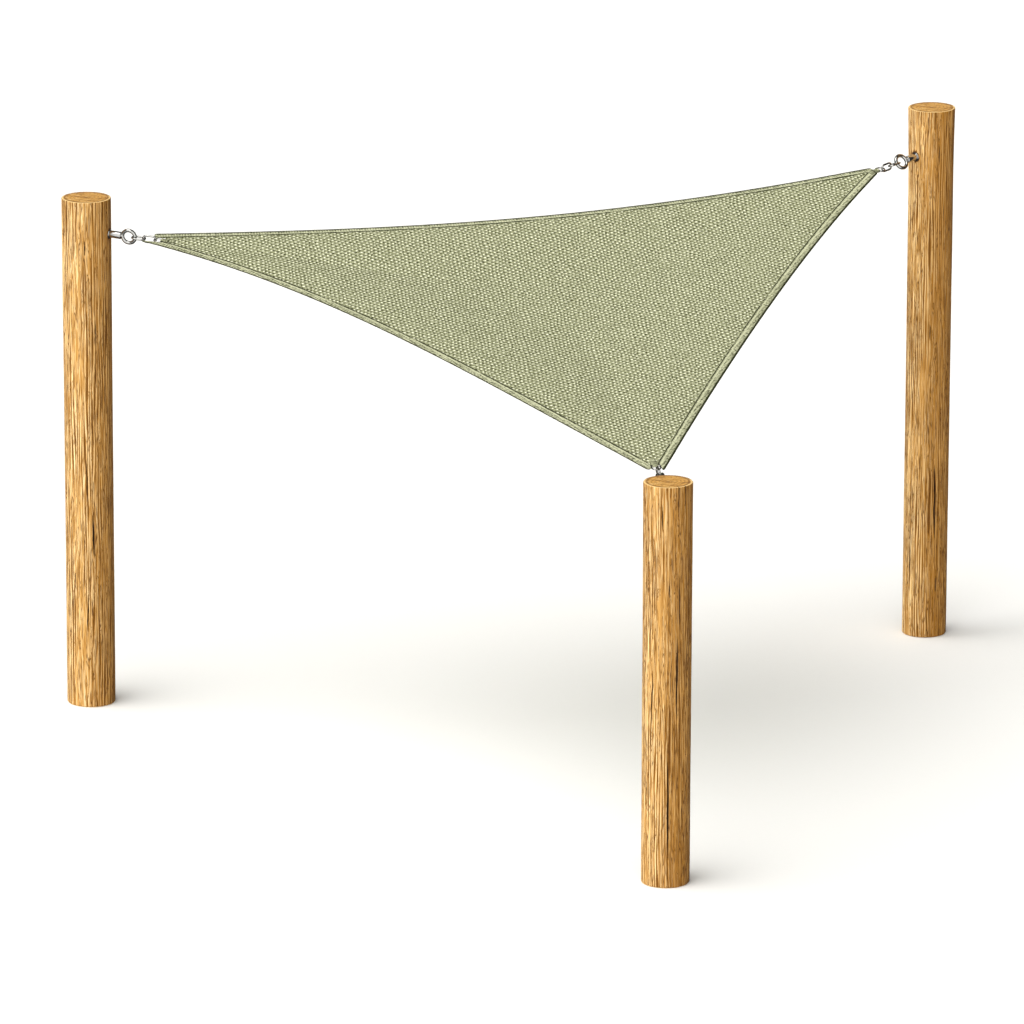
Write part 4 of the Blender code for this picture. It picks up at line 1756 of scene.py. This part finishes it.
@dataclass
class CornerTab:
    """A strap folded round the D-ring's bar and sewn to both sides of the sail's corner."""

    corner: Corner
    half_width: float = 0.013
    half_thick: float = 0.0011
    reach: float = 0.062                # from the bar to the strap's ends
    spread: float = 0.0040              # of the two tongues from the middle of the cloth
    wrap: float = 0.0051                # radius of the fold, to the middle of the strap
    stations: tuple[float, ...] = (0.050, 0.036, 0.024, 0.012)      # along a tongue, after its end
    fold_start: float = 58.0            # degrees at which the fold leaves the upper tongue
    fold_turn: float = 244.0
    fold_steps: int = 18

    def line(self) -> list[tuple[Vector, Vector]]:
        """Draw the strap's middle line, from end to end round the bar.

        Returns:
            Its points and their outward directions.
        """
        up = Vector((0.0, 0.0, 1.0))
        stations = (self.reach, *self.stations)
        result = [(Vector((x, 0.0, self.spread)), up) for x in stations]
        for i in range(self.fold_steps + 1):
            angle = math.radians(self.fold_start + self.fold_turn * i / self.fold_steps)
            way = Vector((math.cos(angle), 0.0, math.sin(angle)))
            result.append((way * self.wrap, way))
        result += [(Vector((x, 0.0, -self.spread)), -up) for x in reversed(stations)]
        return result

    def sew_box(self, place: Matrix) -> bpy.types.Object:
        """Sew a crossed box of stitches on both sides of the strap.

        Args:
            place: Frame in the middle of the D-ring's bar.

        Returns:
            All its stitches as one object.
        """
        inner, outer, edge = 0.014, self.reach - 0.006, self.half_width - 0.004
        corners = ((inner, -edge), (outer, -edge), (outer, edge), (inner, edge))
        paths = ((*corners, (inner, -edge), (outer, edge)), ((inner, edge), (outer, -edge)))
        rows = []
        for way in (1.0, -1.0):
            up = place.to_3x3() @ Vector((0.0, 0.0, way))
            level = way * (self.spread + self.half_thick + 0.0003)
            for path in paths:
                rows.append([(place @ Vector((x, y, level)), up) for x, y in path])
        box_seam = Seam(half_length=0.0017, half_width=0.0006, half_height=0.0004, pitch=0.0044)
        return box_seam.sew(f"box_seam_{self.corner.name}", rows)

    def build(self, cloth: bpy.types.Material, thread: bpy.types.Material) -> list[bpy.types.Object]:
        """Build, dress and deliver the strap and its box of stitches.

        Args:
            cloth: Finish of the strap.
            thread: Finish of the stitches.

        Returns:
            Both pieces.
        """
        place = chain_frame(self.corner) @ Matrix.Translation((D_STRAIGHT, 0.0, 0.0))
        side = Vector((0.0, 1.0, 0.0))
        w, t = self.half_width, self.half_thick
        half = [(-w, -t * 0.5), (-w + t * 0.6, -t), (0.0, -t), (w - t * 0.6, -t), (w, -t * 0.5)]
        section = half + [(y, -z) for y, z in reversed(half)]
        line = self.line()
        rings = [[place @ (point + side * y + out * z) for y, z in section] for point, out in line]
        strap = Bench.swept(f"strap_{self.corner.name}", rings)
        runs = [0.0]
        for (before, _), (after, _) in zip(line, line[1:]):
            runs.append(runs[-1] + (after - before).length)
        Bench.unwrap(strap, "metres", [(run, 0.015 + 0.3 * abs(y)) for run in runs for y, _ in section])
        Bench.deliver(strap, Slot.CLOTH, [], 50.0, cloth)
        stitches = self.sew_box(place)
        Bench.deliver(stitches, Slot.CLOTH, [], 80.0, thread)
        return [strap, stitches]


@dataclass
class Fittings:
    """What joins one corner to its post: the eye bolt, its washer, two chain links and the D-ring."""

    corner: Corner
    collar_radius: float = 0.017
    collar_end: float = 0.037
    neck_radius: float = 0.010
    shank_radius: float = 0.008
    shank_length: float = 0.090
    washer_radius: float = 0.0215
    washer_thick: float = 0.004
    seat_depth: float = 0.003
    edge: float = 0.0014

    def rod(self, name: str, radius: float, start: float, end: float, edge: float) -> bpy.types.Object:
        """Turn a round rod with rounded ends along the eye bolt's axis.

        Args:
            name: The new object's name.
            radius: The rod's radius.
            start: Where it starts, from the middle of the ring.
            end: Where it ends.
            edge: Roundness of its ends.

        Returns:
            The rod, with X along it.
        """
        rod = Bench.start(
            name, bpy.ops.mesh.primitive_cylinder_add, vertices=48, radius=radius, depth=end - start,
            location=((start + end) / 2, 0.0, 0.0), rotation=(0.0, math.pi / 2, 0.0),
        )
        Bench.edit(
            rod, "EDGE", lambda e: abs(e.verts[0].co.z - e.verts[1].co.z) < 1e-6,
            (bpy.ops.mesh.bevel, {"offset": edge, "segments": 3, "affect": "EDGES"}),
        )
        return Bench.settle(rod)

    def eye_bolt(self) -> bpy.types.Object:
        """Build the ring, neck, collar and shank as one forged piece.

        Returns:
            The eye bolt.
        """
        bolt = Bench.start(
            f"eye_bolt_{self.corner.name}_steel", bpy.ops.mesh.primitive_torus_add,
            major_radius=EYE_RADIUS, minor_radius=EYE_BAR, major_segments=80, minor_segments=32,
        )
        Bench.settle(bolt, Matrix.Rotation(math.radians(90.0 + self.corner.eye_turn), 4, "X"))
        back = -EYE_REACH - self.seat_depth + self.washer_thick + 2 * GAP
        tip = -EYE_REACH - self.seat_depth - self.shank_length + GAP
        neck = self.rod("neck", self.neck_radius, -self.collar_end - 0.004, -EYE_RADIUS + 0.001, 0.0005)
        collar = self.rod("collar", self.collar_radius, back, -self.collar_end, 0.0024)
        shank = self.rod("shank", self.shank_radius, tip, back + 0.004, self.edge)
        for part in (neck, collar, shank):
            Bench.combine(bolt, part, "UNION")
        return Bench.settle(bolt, eye_frame(self.corner))

    def washer(self) -> bpy.types.Object:
        """Build the washer that lies in the post's seat.

        Returns:
            The washer.
        """
        back = -EYE_REACH - self.seat_depth + GAP
        front = back + self.washer_thick
        washer = self.rod(f"washer_{self.corner.name}_steel", self.washer_radius, back, front, 0.001)
        hole = self.rod("hole", self.shank_radius + GAP, back - 0.01, front + 0.01, 0.0005)
        Bench.combine(washer, hole, "DIFFERENCE")
        return Bench.settle(washer, eye_frame(self.corner))

    def link(self, name: str, start: float, turn: float) -> bpy.types.Object:
        """Stretch a ring to a chain link and hang it in its place.

        Args:
            name: "inner" in the eye or "outer" in the D-ring.
            start: Where it starts along the chain.
            turn: Degrees about the chain.

        Returns:
            The link.
        """
        radius = LINK_WIDTH / 2
        half = math.pi / 64
        link = Bench.start(
            f"link_{name}_{self.corner.name}_steel", bpy.ops.mesh.primitive_torus_add, major_radius=radius,
            minor_radius=LINK_BAR, major_segments=64, minor_segments=24, rotation=(0.0, 0.0, half),
        )
        Bench.settle(link, Matrix.Translation((radius, 0.0, 0.0)))
        Bench.edit(
            link, "VERT", lambda v: v.co.x > radius,
            (bpy.ops.transform.translate, {"value": (LINK_LENGTH - 2 * radius, 0.0, 0.0)}),
        )
        twist = Matrix.Rotation(math.radians(turn), 4, "X")
        return Bench.settle(link, chain_frame(self.corner) @ Matrix.Translation((start, 0.0, 0.0)) @ twist)

    def d_ring(self) -> bpy.types.Object:
        """Bend a round bar to the D-ring.

        Returns:
            The D-ring.
        """
        radius = D_WIDTH / 2
        inner = radius - D_CORNER
        bend_x = D_STRAIGHT - D_CORNER
        arcs = (
            (D_BOW + radius, 0.0, radius, 90.0, 270.0, 36), (bend_x, -inner, D_CORNER, 270.0, 360.0, 8),
            (bend_x, inner, D_CORNER, 0.0, 90.0, 8),
        )
        path = []
        for x, y, bend, start, end, steps in arcs:
            for i in range(steps + 1):
                way = azimuth(start + (end - start) * i / steps)
                path.append((Vector((x, y, 0.0)) + way * bend, way))
        place = chain_frame(self.corner)
        rings = []
        for point, way in path:
            turns = (2 * math.pi * k / 24 for k in range(24))
            offsets = (way * (D_BAR * math.cos(a)) + Vector((0.0, 0.0, D_BAR * math.sin(a))) for a in turns)
            rings.append([place @ (point + offset) for offset in offsets])
        return Bench.swept(f"d_ring_{self.corner.name}_steel", rings, closed=True)

    def build(self, steel: bpy.types.Material) -> None:
        """Build, dress and deliver all five pieces.

        Args:
            steel: Their finish.
        """
        turn = self.corner.eye_turn
        pieces = {
            "eye_bolt": self.eye_bolt(),
            "washer": self.washer(),
            "link_inner": self.link("inner", FIRST_START, INNER_TWIST * turn),
            "link_outer": self.link("outer", SECOND_START, 90.0 + OUTER_TWIST * turn),
            "d_ring": self.d_ring(),
        }
        for node, piece in pieces.items():
            Bench.deliver(piece, Slot.STEEL, [f"{node}_{self.corner.name}"], material=steel)


@dataclass
class Sail:
    """The whole sail: cloth, hems, seams and corner straps."""

    flat_size: tuple[float, float] = (3.72, 3.03)
    flat_area: float = 4.56

    def build(self) -> None:
        shape = HungShape()
        cloth = ClothField(shape).build()
        # The three hem finishes are lit and shaded copies: they differ only in the breadth of the painted
        # shade along the outer fold and in the seam's furrow
        far_hem = HemCloth(rim=0.0150, furrow=0.0046).material()
        side_hem = HemCloth(rim=0.0125, furrow=0.0026).material()
        near_hem = HemCloth().material()
        thread = SewingThread().material()
        extras = []
        for edge, hem_cloth in zip(EDGES, (near_hem, side_hem, far_hem)):
            extras += Hem(edge, shape).build(hem_cloth, thread)
        for corner in CORNERS:
            extras += CornerTab(corner).build(near_hem, thread)


def main() -> None:
    """Build every piece in turn and set the studio round it."""
    logging.basicConfig(level=logging.INFO, format="%(name)s: %(message)s")
    split_wood = SplitWood().material()
    for corner in CORNERS:
        LogPost(corner).build(split_wood)
    steel = BrightSteel().material()
    for corner in CORNERS:
        Fittings(corner).build(steel)
    Sail().build()
    Studio().build()


if __name__ == "__main__":
    main()
